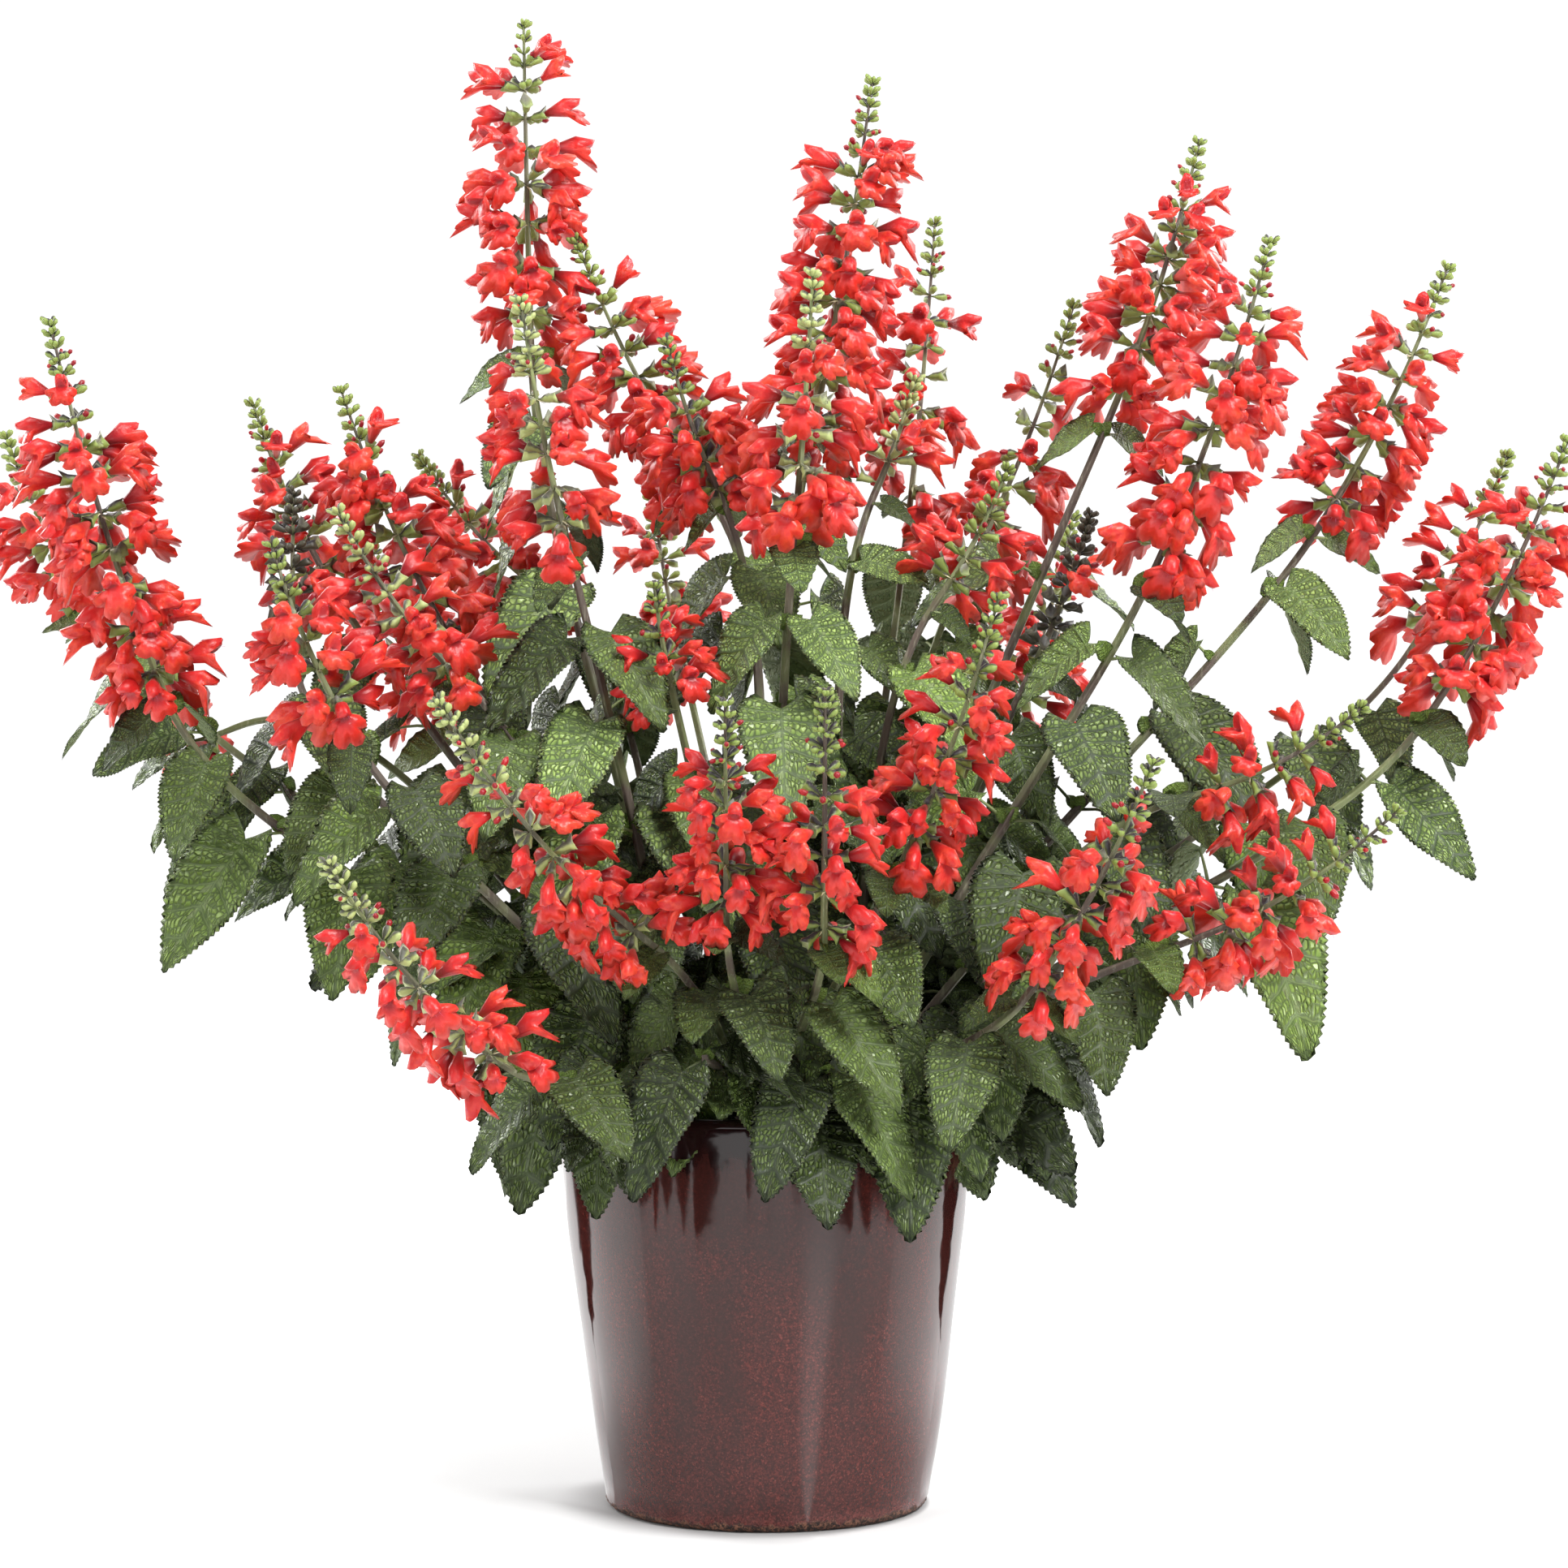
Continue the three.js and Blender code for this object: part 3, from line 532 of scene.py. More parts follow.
# Feet and tips of the racemes in millimetres, with the leaf pairs that the solids have, the turn of
# the first pair, how the raceme looks and how many flowers stand in a whorl
stems = [
    ((-330, -20, 445), (-390, -40, 650), (0, 1, 2, 4), 20, "full", 9),
    ((-385, 60, 495), (-440, 80, 600), (1,), 60, "full", 7),
    ((-250, 75, 510), (-300, 100, 620), (1, 3), 0, "full", 7),
    ((-175, 20, 475), (-240, 30, 620), (1, 2), 30, "full", 8),
    ((-125, 110, 505), (-210, 160, 595), (1, 3), 45, "full", 7),
    ((-262, -10, 480), (-262, -5, 560), (1,), 70, "spent", 7),
    ((-220, -95, 425), (-260, -110, 525), (0, 1, 3), 80, "full", 7),
    ((-165, -60, 455), (-230, -75, 545), (1,), 10, "pale", 6),
    ((-135, 60, 645), (-140, 70, 835), (0, 1, 3), 15, "tall", 8),
    ((-105, -70, 520), (-130, -95, 655), (0, 1, 2), 75, "pale", 6),
    ((-35, 45, 565), (-110, 60, 710), (0, 2), 30, "full", 8),
    ((-25, -10, 555), (-55, -40, 640), (1,), 60, "full", 8),
    ((25, 50, 595), (60, 60, 800), (0, 2, 4), 20, "full", 8),
    ((15, -65, 530), (25, -85, 670), (0, 1, 2), 82, "pale", 7),
    ((85, 140, 570), (100, 160, 735), (1, 3), 35, "thin", 5),
    ((62, 60, 565), (85, 75, 632), (), 0, "pale", 5),
    ((115, 90, 520), (180, 115, 680), (1, 3), 50, "thin", 5),
    ((95, 5, 500), (135, 15, 575), (1,), 20, "full", 5),
    ((195, 65, 605), (250, 85, 770), (0, 2), 0, "full", 8),
    ((210, -25, 510), (275, -35, 695), (0, 1, 2), 85, "full", 7),
    ((315, 55, 545), (390, 65, 695), (0, 1, 3), 5, "full", 7),
    ((370, 75, 475), (430, 95, 590), (2,), 40, "full", 6),
    ((365, -10, 435), (445, 0, 590), (0, 1, 3), 70, "full", 8),
    ((225, -60, 390), (320, -75, 440), (1, 2), 30, "full", 6),
    ((210, -100, 310), (330, -125, 385), (0, 1, 2), 60, "full", 7),
    ((135, -150, 290), (195, -195, 410), (1,), 0, "full", 7),
    ((70, -125, 355), (120, -155, 495), (1, 2), 30, "full", 8),
    ((-20, -150, 325), (-20, -195, 440), (1,), 45, "full", 8),
    ((30, -160, 320), (30, -205, 445), (1,), 70, "full", 6),
    ((-50, -60, 445), (-60, -80, 505), (1,), 20, "full", 7),
    ((-60, -130, 315), (-165, -190, 440), (1, 2), 60, "pale", 7),
    ((-135, -160, 255), (-215, -230, 360), (0, 1), 30, "pale", 6),
    ((-305, 70, 430), (-360, 75, 420), (), 60, "full", 7),
    ((150, 15, 465), (182, 25, 550), (1,), 10, "spent", 7),
    ((-190, 170, 430), (-250, 215, 560), (0, 2, 3), 40, "full", 7),
    ((-50, 215, 460), (-75, 275, 590), (0, 2), 20, "full", 7),
    ((150, 190, 440), (190, 250, 565), (0, 2, 3), 35, "full", 7),
    ((-95, 225, 300), (-145, 325, 385), (1,), 50, "full", 7),
    ((90, 235, 300), (120, 335, 390), (1,), 15, "full", 7),
]

# Leafy shoots that lean out over the rim: compass angle, reach, height and turn
shoots = [
    (-163, 140, 252, 20), (-130, 136, 246, 70), (-103, 140, 256, 10), (-76, 134, 244, 60),
    (-48, 142, 254, 25), (-15, 138, 250, 75), (32, 136, 248, 15), (88, 134, 250, 40),
    (140, 138, 246, 20),
]

stemSizes = {
    "rootWidth": 0.0058,
    "footWidth": 0.0036,
    "tipWidth": 0.0013,
    "soilTop": 204,
    "crownRadius": 13,
    "crownRing": 44,
    "crownCount": 6,
    "crownSides": 18,
    "crownSeed": 40,
    "stemStart": 9,
    "stemRing": 0.3,
    "lean": 0.75,
    "mostLean": 1.3,
    "footBend": 0.22,
    "tipBend": 0.3,
    "pull": 0.36,
    "rootPull": 0.38,
    "footPull": 0.26,
    "sides": 16,
    "groove": 0.16,
    "step": 0.006,
}

# Outline of a crown from the bottom up: share of its radius, and height above the soil. Its poles
# stand that far below and above the soil.
crownPoles = (0.0125, 0.014)
crownOutline = [(0.92, -0.012), (1.0, -0.004), (0.98, 0.002), (0.9, 0.007), (0.74, 0.011), (0.45, 0.0135)]


def radians(angle):
    return angle / 180 * math.pi


# A stem's line as a cubic curve, measured along its length
class Line:
    def __init__(self, corners, steps=200):
        self.corners = [np.array(corner, float) * mm for corner in corners]
        self.times = np.linspace(0, 1, steps + 1)
        points = np.array([self.spot(time) for time in self.times])
        parts = np.linalg.norm(np.diff(points, axis=0), axis=1)
        self.reached = np.concatenate([[0], np.cumsum(parts)])
        self.length = self.reached[-1]

    def spot(self, time):
        a, b, c, d = self.corners
        rest = 1 - time
        return rest**3 * a + 3 * rest**2 * time * b + 3 * rest * time**2 * c + time**3 * d

    # Centre, axis and the two directions across at a share of the length
    def frame(self, share, turn):
        time = np.interp(share * self.length, self.reached, self.times)
        a, b, c, d = self.corners
        rest = 1 - time
        axis = unit(rest**2 * (b - a) + 2 * rest * time * (c - b) + time**2 * (d - c))
        side = unit(np.cross((0, 1, 0), axis))
        back = np.cross(axis, side)
        cos, sin = math.cos(radians(turn)), math.sin(radians(turn))
        return self.spot(time), axis, side * cos + back * sin, back * cos - side * sin


def crownCentre(index):
    if index == stemSizes["crownCount"]:
        return np.array([0, 0, stemSizes["soilTop"]], float)
    angle = index / stemSizes["crownCount"] * 2 * math.pi + radians(30)
    ring = stemSizes["crownRing"]
    return np.array([ring * math.cos(angle), ring * math.sin(angle), stemSizes["soilTop"]])


def crownOf(foot):
    reach = math.hypot(foot[0], foot[1])
    aim = np.array([foot[0], foot[1], 0]) / reach * min(reach * 0.3, stemSizes["crownRing"])
    aim[2] = stemSizes["soilTop"]
    away = [np.linalg.norm(crownCentre(k) - aim) for k in range(stemSizes["crownCount"] + 1)]
    return int(np.argmin(np.round(away, 6)))


# The lines of a stem: the leafy stalk from its crown, and the raceme on it
def stemLines(foot, tip):
    foot, tip = np.array(foot, float), np.array(tip, float)
    raceme = tip - foot
    along = unit(raceme)
    atFoot = unit(along - up * stemSizes["footBend"])
    atTip = unit(along + up * stemSizes["tipBend"])
    pull = np.linalg.norm(raceme) * stemSizes["pull"]
    middle = crownCentre(crownOf(foot))
    outward = (foot - middle) * (1, 1, 0)
    lean = stemSizes["lean"] * np.linalg.norm(outward) / (foot[2] - stemSizes["soilTop"])
    lean = min(stemSizes["mostLean"], lean)
    outward = unit(outward)
    root = middle + outward * stemSizes["crownRadius"] * stemSizes["stemRing"]
    root = root + up * stemSizes["stemStart"]
    reach = np.linalg.norm(foot - root)
    afterRoot = root + unit(outward * lean + up) * reach * stemSizes["rootPull"]
    stalk = Line([root, afterRoot, foot - atFoot * reach * stemSizes["footPull"], foot])
    spike = Line([foot, foot + atFoot * pull, tip - atTip * pull, tip])
    return stalk, spike


stemColours = {
    "green stem": {"old": (0.085, 0.062, 0.048), "young": (0.15, 0.175, 0.070), "fuzz_and_rim_light": (0.46, 0.47, 0.33)},
    "pale stem": {"old": (0.10, 0.10, 0.06), "young": (0.22, 0.26, 0.10), "fuzz_and_rim_light": (0.50, 0.52, 0.34)},
    "woody crown": {"old": (0.05, 0.035, 0.025), "young": (0.10, 0.07, 0.045), "fuzz_and_rim_light": (0.18, 0.14, 0.10)},
}


def stemPaint(name):
    paint = Paint(name, stemColours[name])
    streaks = paint.noise(paint.place((1, 1, 0.12)), 420, 3, 0.6)
    patches = paint.noise(paint.place(), 22, 3, 0.5)
    paint.coat(paint.ramp(patches, 0.42, 0.62), "young")
    paint.coat(paint.ramp(streaks, 0.5, 0.8) * 0.4, "fuzz_and_rim_light")
    # Lighter where the stem is seen edge on: partly its fuzz, partly a painted rim light
    paint.coat(paint.ramp(paint.edge(0.25), 0.35, 0.9) * 0.75, "fuzz_and_rim_light")
    return paint.finish({"Roughness": 0.6, "Normal": paint.bump(streaks, 0.4, 0.0004)})


# The tree that runs a grooved square section along a line, as wide as the line says
def stemGrowth():
    tree = Growth("groovedStem", {
        "Sides": stemSizes["sides"],
        "Groove": stemSizes["groove"],
        "Material": bpy.types.Material,
    })
    width = tree.split(tree.attribute("wide"))[0]
    sockets = {"Curve": tree.facedLine(), "Radius": width}
    line = tree.node("GeometryNodeSetCurveRadius", None, sockets)
    sockets = {"Resolution": tree.input("Sides"), "Radius": 1.0}
    ring = tree.node("GeometryNodeCurvePrimitiveCircle", None, sockets)
    place = tree.node("GeometryNodeInputPosition")
    x, y = tree.split(place)[:2]
    # Between a circle and a square, with a groove down the middle of each side
    squareness = tree.math("ABSOLUTE", x * y) * 2
    reach = 1 - tree.input("Groove") * (1 - squareness) * 1.6 + squareness * 0.16
    sockets = {"Geometry": ring, "Position": tree.scaled(place, reach)}
    section = tree.node("GeometryNodeSetPosition", None, sockets)
    radius = tree.node("GeometryNodeInputRadius")
    sockets = {"Curve": line, "Profile Curve": section, "Scale": radius, "Fill Caps": True}
    body = tree.node("GeometryNodeCurveToMesh", None, sockets)
    tree.finish(tree.node("GeometryNodeSetShadeSmooth", None, {"Geometry": body}))
    return tree


# A line as a bare mesh that carries its half width and the way its first side faces
def lineMesh(line, turn, fromWidth, toWidth):
    count = max(6, int(line.length / stemSizes["step"]))
    points, wide, facing = [], [], []
    for share in np.linspace(0, 1, count):
        centre, _, side, back = line.frame(share, turn)
        points.append(centre)
        wide.append((0.5 * (fromWidth + (toWidth - fromWidth) * share), 0, 0))
        facing.append(unit(side + back))
    mesh = bpy.data.meshes.new("line")
    mesh.from_pydata([tuple(p) for p in points], [(k, k + 1) for k in range(count - 1)], [])
    addReads(mesh, {"wide": wide, "facing": facing})
    return mesh


# A woody knob half sunk in the soil, from which the stems of a clump rise
def crownMesh(index, material):
    centre = crownCentre(index) * mm
    radius = stemSizes["crownRadius"] * mm
    draws = np.random.default_rng(stemSizes["crownSeed"] + index)
    rings = []
    angles = circle(stemSizes["crownSides"])
    lumps = 1 + 0.08 * np.sin(angles * 3 + index) + 0.05 * np.sin(angles * 5 + 2 * index)
    for share, height in crownOutline:
        reach = radius * share * lumps * (1 + draws.uniform(-0.03, 0.03, len(angles)))
        rise = centre[2] + height + draws.uniform(-0.0006, 0.0006, len(angles))
        rings.append(levelRing(angles, reach, rise) + centre * (1, 1, 0))
    skin = Skin().add(*poledShape(rings, centre - up * crownPoles[0], centre + up * crownPoles[1]))
    return skin.mesh("crown", material)


# Leaves

leafSizes = {
    "halfWidth": 0.38,
    "lobes": 0.19,
    "widestPower": 0.62,
    "fullness": 0.62,
    "fold": 0.22,
    "sag": 0.24,
    "splay": 0.75,
    "sunward": 1.6,
    "swing": 16,
    "droop": 18,
    "vary": 0.2,
    "bark": 0.0022,
    "thickness": 0.00045,
    "tooth": 0.022,
    "quilt": 0.022,
    "ruffle": 0.026,
    "sinus": 0.03,
    "toothLean": 0.006,
    "petioleRadius": 0.0009,
    "petioleSides": 6,
    "veins": 7,
    "largeFrom": 0.04,
    "tipMatch": 0.00005,
    "lowest": 0.28,
    "rise": 0.22,
    "seed": 31,
    "bladeSeed": 900,
}

# Leaves that only the scene has: where stems are bare, and how the leaves turn, sink and differ
addedLeaves = {"bareFrom": 0.4, "bareShare": 0.4, "swing": 110, "sink": 50, "small": 0.62, "larger": 0.34}

# Young pairs in the axils: share of leaves with one, how they point, and their size
axilPairs = {
    "share": 0.6, "up": 1.2, "out": 0.6, "aside": 0.8, "gap": 0.002, "small": 0.008, "larger": 0.010,
}

# How fresh and how grey a leaf is, the grey partly a random tone and partly a painted sheen that grows up
# the plant: at the foot of the plant, what its top adds, and the draw
leafTints = {
    "fresh": (0.45, -0.3, -0.35, 0.4),
    "grey_and_sheen": (0.05, 0.35, -0.3, 0.3),
}
# How bright a leaf is: a random draw from least to most, times a painted shade that darkens leaves low on
# the plant and lightens them higher up
leafBrightAndShade = {"least": 0.5, "most": 1.6, "low": 0.68, "rise": 0.56}

# Leaf pairs down a stem: distance, blade length, petiole and droop
leafPairs = [(9, 36, 6, 30), (50, 54, 12, 42), (100, 66, 20, 48), (155, 72, 26, 52), (215, 74, 32, 56)]
lowPairs = [(265, 66, 30, 50), (320, 60, 30, 48)]
shootPairs = [(5, 58, 14, 58), (30, 72, 24, 66)]

# Ways to turn a leaf clear of its neighbours: turn and droop in degrees, and size
leafTries = [
    (0, 0, 1), (18, 0, 1), (-18, 0, 1), (0, 20, 1), (0, -20, 1), (35, 10, 0.95), (-35, 10, 0.95),
    (20, 30, 0.9), (-20, 30, 0.9), (30, -25, 0.9), (-30, -25, 0.9), (0, 45, 0.85), (50, 0, 0.8),
    (-50, 0, 0.8), (0, 0, 0.7), (25, 20, 0.7), (-25, 20, 0.7), (0, -40, 0.7), (40, 30, 0.6),
    (-40, 30, 0.6),
]


# A repeatable draw from 0 to 1 for the three numbers that name a leaf
def draw(i, j, k):
    wave = math.sin(i * 12.9898 + j * 78.233 + k * 37.719 + 4.1) * 43758.5453
    return wave - math.floor(wave)


# Where a leaf stands and how it lies: base, blade direction, left, normal and length
def leafPlace(frame, pair, angle, attempt, number):
    centre, axis, side, back = frame
    blade, petiole, droopOfPair = pair[1:]
    turn, droopMore, size = attempt
    outward = side * math.cos(radians(angle)) + back * math.sin(radians(angle))
    radial = unit(centre * (1, 1, 0))
    flat = unit(unit(outward * (1, 1, 0)) + radial * leafSizes["splay"])
    swing = radians(turn + (draw(number, angle, 1) - 0.5) * leafSizes["swing"])
    flat = np.array([
        flat[0] * math.cos(swing) - flat[1] * math.sin(swing),
        flat[0] * math.sin(swing) + flat[1] * math.cos(swing),
        0,
    ])
    droop = radians(droopOfPair + droopMore + (draw(number, angle, 2) - 0.5) * leafSizes["droop"])
    length = blade * mm * size * (1 + (draw(number, angle, 3) - 0.5) * leafSizes["vary"])
    base = centre + unit(flat * 0.8 + outward + axis * 0.7) * (petiole * size * mm + leafSizes["bark"])
    direction = flat * math.cos(droop) - up * math.sin(droop)
    upward = np.cross(unit(np.cross(direction, up)), direction)
    sunward = sun - direction * (sun @ direction)
    normal = unit(upward + sunward * leafSizes["sunward"])
    return {
        "root": centre,
        "base": base,
        "blade": direction,
        "left": np.cross(direction, normal),
        "normal": normal,
        "length": length,
    }


def leafTip(leaf):
    return leaf["base"] + (leaf["blade"] - up * leafSizes["sag"]) * leaf["length"]


# The blade as a grid of rows that follow the side veins, with teeth between them on the rim. Gives
# for each point its row, its place across, and which face it is on, or 0 where both faces meet.
def bladeGrid(rows, columns, teeth):
    spots = []
    index = {}

    def spot(row, across, face):
        shared = abs(across) > 0.999
        key = (rows, 0, 0) if row >= rows else (round(row, 4), round(across, 4), 0 if shared else face)
        if key not in index:
            index[key] = len(spots)
            spots.append(key)
        return index[key]

    faces = []
    inner = [k / columns for k in range(-columns + 1, columns)]
    for face in (1, -1):
        for row in range(rows):
            for a, b in zip(inner, inner[1:]):
                quad = [spot(row, a, face), spot(row, b, face)]
                quad += [spot(row + 1, b, face), spot(row + 1, a, face)]
                quad = list(dict.fromkeys(quad))
                faces.append(quad if face < 0 else quad[::-1])
            for hand in (1, -1):
                near = [spot(row + k, inner[-1] * hand, face) for k in (0, 1)]
                rim = [spot(row + k / teeth, hand, face) for k in range(teeth + 1)]
                turnAt = teeth // 2
                fan = [[near[0], rim[k], rim[k + 1]] for k in range(turnAt)]
                fan.append([near[0], rim[turnAt], near[1]])
                fan += [[near[1], rim[k], rim[k + 1]] for k in range(turnAt, teeth)]
                for triangle in fan:
                    if len(set(triangle)) == 3:
                        faces.append(triangle if (hand > 0) == (face < 0) else triangle[::-1])
    # The two faces also meet along the base
    top, low = ([spot(0, a, face) for a in (-1, *inner, 1)] for face in (1, -1))
    for k in range(len(top) - 1):
        faces.append(list(dict.fromkeys([top[k], top[k + 1], low[k + 1], low[k]])))
    return np.array(spots, float), faces


# Rows of a blade, rows from notch to notch of its teeth, half waves of quilt in a row, and its grid
bladeGrids = {
    "large": (14, 0.5, 1, *bladeGrid(14, 4, 4)),
    "small": (8, 1, 2, *bladeGrid(8, 3, 2)),
    "tiny": (4, 1, 2, *bladeGrid(4, 2, 1)),
}

# How blades differ, each from least to most
bladeDraws = {"wave": (0, 6.28), "curl": (-0.10, 0.16), "twist": (-0.35, 0.35), "bow": (-0.12, 0.12)}


# Half width of a blade at a share of its rim, as a share of its length
def rimReach(share):
    share = np.clip(share, 1e-6, 1)
    rise = np.clip(np.sin(math.pi * share ** leafSizes["widestPower"]), 0, 1)
    return leafSizes["halfWidth"] * rise ** leafSizes["fullness"]


def addLeaf(skin, leaf, tint, grid="large", number=0):
    rows, toothStep, waves, spots, faces = bladeGrids[grid]
    draws = np.random.default_rng(leafSizes["bladeSeed"] + number)
    row, across, face = spots.T
    share = row / rows
    rimShare = leafSizes["sinus"] + (1 - leafSizes["sinus"]) * share ** 0.92
    ribShare = share ** 1.75
    far = np.abs(across)
    rimAlong = rimShare - leafSizes["lobes"] * (1 - rimShare)
    along = ribShare + (rimAlong - ribShare) * far ** 0.9
    half = rimReach(rimShare)
    onRim = far > 0.999
    notch = row % toothStep == 0
    tooth = np.where(onRim & notch & (row > 0), -leafSizes["tooth"], 0)
    wide = across * (half * (1 + leafSizes["tooth"]) + tooth)
    along = along + np.where(notch, 0, leafSizes["toothLean"])
    # Veins run in the dips between raised quilts
    vein = np.cos(row * math.pi * waves)
    quilt = -vein * leafSizes["quilt"] * np.sin(np.clip(far, 0, 1) * math.pi) ** 0.6
    wave, curl, twist, bow = (draws.uniform(*span) for span in bladeDraws.values())
    ruffle = leafSizes["ruffle"] * far**2 * np.sin(share * 9 + wave + across * 1.5)
    rise = leafSizes["fold"] * np.abs(wide) + quilt + ruffle
    rise = rise + curl * (share - 0.3) ** 2 + twist * wide * share
    length = leaf["length"]
    thick = np.where(onRim | (row >= rows), 0, face * leafSizes["thickness"] / 2 / length)
    points = (
        leaf["base"]
        + np.outer(along * length, leaf["blade"])
        + np.outer((wide + bow * share**2) * length, leaf["left"])
        + np.outer((rise + thick) * length, leaf["normal"])
        - np.outer(leafSizes["sag"] * length * along * np.abs(along), up)
    )
    places = np.stack([share * leafSizes["veins"], across, face], axis=1)
    skin.add(points, faces, leafPlace=places, leafTint=np.tile(tint, (len(points), 1)))


# A curved petiole from the stem to the blade's base
def addPetiole(skin, leaf, tint):
    start, end = leaf["root"], leaf["base"] + leaf["blade"] * leaf["length"] * 0.03
    lift = unit(end - start)
    middle = (start + end) / 2 + up * np.linalg.norm(end - start) * 0.10
    across = unit(np.cross(lift, up + 0.01))
    rise = np.cross(across, lift)
    sides = leafSizes["petioleSides"]
    points, rings = [], []
    for share in (0, 0.35, 0.7, 1):
        centre = (1 - share) ** 2 * start + 2 * share * (1 - share) * middle + share**2 * end
        reach = leafSizes["petioleRadius"] * (1.25 - 0.45 * share)
        rings.append(len(points))
        for angle in circle(sides):
            points.append(centre + (across * math.cos(angle) + rise * math.sin(angle)) * -reach)
    faces = ringWalls(rings, sides) + endCap(rings[0], sides, True) + endCap(rings[-1], sides)
    places = np.tile((0.0, 0.0, 2.0), (len(points), 1))
    skin.add(points, faces, leafPlace=places, leafTint=np.tile(tint, (len(points), 1)))


leafColours = {
    "dark": (0.074, 0.122, 0.026),
    "fresh": (0.165, 0.260, 0.036),
    "grey_and_sheen": (0.130, 0.184, 0.060),
    "groove": (0.008, 0.015, 0.006),
    "top": (0.260, 0.345, 0.105),
    "under": (0.15, 0.19, 0.085),
    "vein": (0.22, 0.31, 0.09),
    "rim": (0.34, 0.36, 0.16),
    "petiole": (0.17, 0.21, 0.08),
}


# leafTint holds how fresh, how grey and how bright a leaf is. The grey is partly painted sheen, and the
# brightness partly painted shade on leaves low on the plant.
def leafPaint():
    paint = Paint("leaf green", leafColours)
    row, across, face = paint.split(paint.attribute("leafPlace"))
    fresh, grey_and_sheen, bright = paint.split(paint.attribute("leafTint"))
    far = paint.math("ABSOLUTE", across)
    # Side veins stand at whole rows. Between them lie rows of raised cells, parted by a net of creases.
    bend = paint.noise(paint.place(), 90, 2, 0.5) - 0.5
    sideVein = paint.math("ABSOLUTE", paint.math("FRACT", row + bend * 0.3 + 0.5) - 0.5) * 2
    cells = {
        "Vector": paint.vector(row * 3.7 + bend, across * 8 + bend, 0),
        "Scale": 1.0,
        "Randomness": 0.7,
    }
    net = paint.node("ShaderNodeTexVoronoi", {"feature": "DISTANCE_TO_EDGE"}, cells)
    cellShade = paint.split(paint.node("ShaderNodeTexVoronoi", None, cells, "Color"))[0]
    ribLine = paint.ramp(far, 0.0, 0.06)
    veinLine = paint.ramp(sideVein, 0.0, 0.26)
    creases = ribLine * veinLine * (0.1 + 0.9 * paint.ramp(net, 0.0, 0.17))
    domes = paint.ramp(sideVein, 0.0, 0.6) * paint.ramp(far, -0.04, 0.2)
    quilt = domes * (0.4 + 0.6 * paint.ramp(net, 0.0, 0.28))
    mottle = paint.noise(paint.place(), 60, 3, 0.6)
    paint.coat(fresh, "fresh")
    # Partly a random grey tone, partly a painted sheen on leaves high up
    paint.coat(grey_and_sheen, "grey_and_sheen")
    paint.coat(paint.ramp(mottle, 0.4, 0.75) * 0.25, "fresh")
    # Painted highlight: the raised cells are lighter on top
    paint.coat(quilt * (0.36 + cellShade * 0.22) * (1 - fresh * 0.4), "top")
    # Painted shade darkens the creases along the midrib, the side veins and the net between the cells
    paint.coat((1 - creases) * (0.95 - fresh * 0.3), "groove")
    veins = 1 - paint.ramp(far, 0.008, 0.03) * paint.ramp(sideVein, 0.01, 0.07)
    paint.coat(veins * (0.05 + fresh * 0.35), "vein")
    paint.coat(paint.ramp(far, 0.965, 1.0) * 0.6, "rim")
    underside = paint.math("LESS_THAN", face, -0.5)
    paint.coat(underside * 0.75, "under")
    paint.coat(paint.math("GREATER_THAN", face, 1.5), "petiole")
    # The brightness darkens leaves low on the plant with painted shade
    sockets = {"Value": bright, "Color": paint.colour}
    return paint.finish({
        "Base Color": paint.node("ShaderNodeHueSaturation", None, sockets),
        "Roughness": 0.34 + 0.24 * (1 - creases) + underside * 0.3,
        "Specular IOR Level": 0.5,
        "Normal": paint.bump(quilt, 1.0, 0.0020),
    })


# A fresh young pair that stands in the axil of a leaf
def addAxilPair(skin, leaf, number):
    out = unit(leaf["blade"] * (1, 1, 0)) * axilPairs["out"]
    for hand in (-1, 1):
        direction = unit(up * axilPairs["up"] + out + leaf["left"] * hand * axilPairs["aside"])
        normal = unit(sun - direction * (sun @ direction))
        young = {
            "base": leaf["root"] + direction * axilPairs["gap"],
            "blade": direction,
            "left": np.cross(direction, normal),
            "normal": normal,
            "length": axilPairs["small"] + axilPairs["larger"] * draw(number, hand, 21),
        }
        addLeaf(skin, young, (1.0, 0.0, 1.8), "tiny", number + hand)


# The leaves that the solids have, found by their tips, and those that only the scene adds
def leavesOf(number, line, turn, pairs, solidPairs, tips):
    found = []
    for order, pair in enumerate(pairs):
        share = 1 - pair[0] * mm / line.length
        if share < 0.12:
            continue
        frame = line.frame(share, turn)
        for side in (order % 2, order % 2 + 2):
            angle = side * 90
            leaf = None
            if order in solidPairs:
                for attempt in leafTries:
                    guess = leafPlace(frame, pair, angle, attempt, number)
                    if np.min(np.linalg.norm(tips - leafTip(guess), axis=1)) < leafSizes["tipMatch"]:
                        leaf = guess
                        break
            solid = leaf is not None
            if not solid:
                high = frame[0][2] > addedLeaves["bareFrom"]
                if high and draw(number, angle, 14) < addedLeaves["bareShare"]:
                    continue
                swing = (draw(number, angle, 11) - 0.5) * addedLeaves["swing"]
                size = addedLeaves["small"] + addedLeaves["larger"] * draw(number, angle, 12)
                sink = (draw(number, angle, 13) - 0.7) * addedLeaves["sink"]
                leaf = leafPlace(frame, pair, angle, (swing, sink, size), number)
            found.append({**leaf, "solid": solid, "pair": order})
    return found


# Racemes

flowerSizes = {
    "threadRadius": 0.17,
    "threadReach": 2.6,
    "ruffle": 0.42,
    "seed": 70,
}

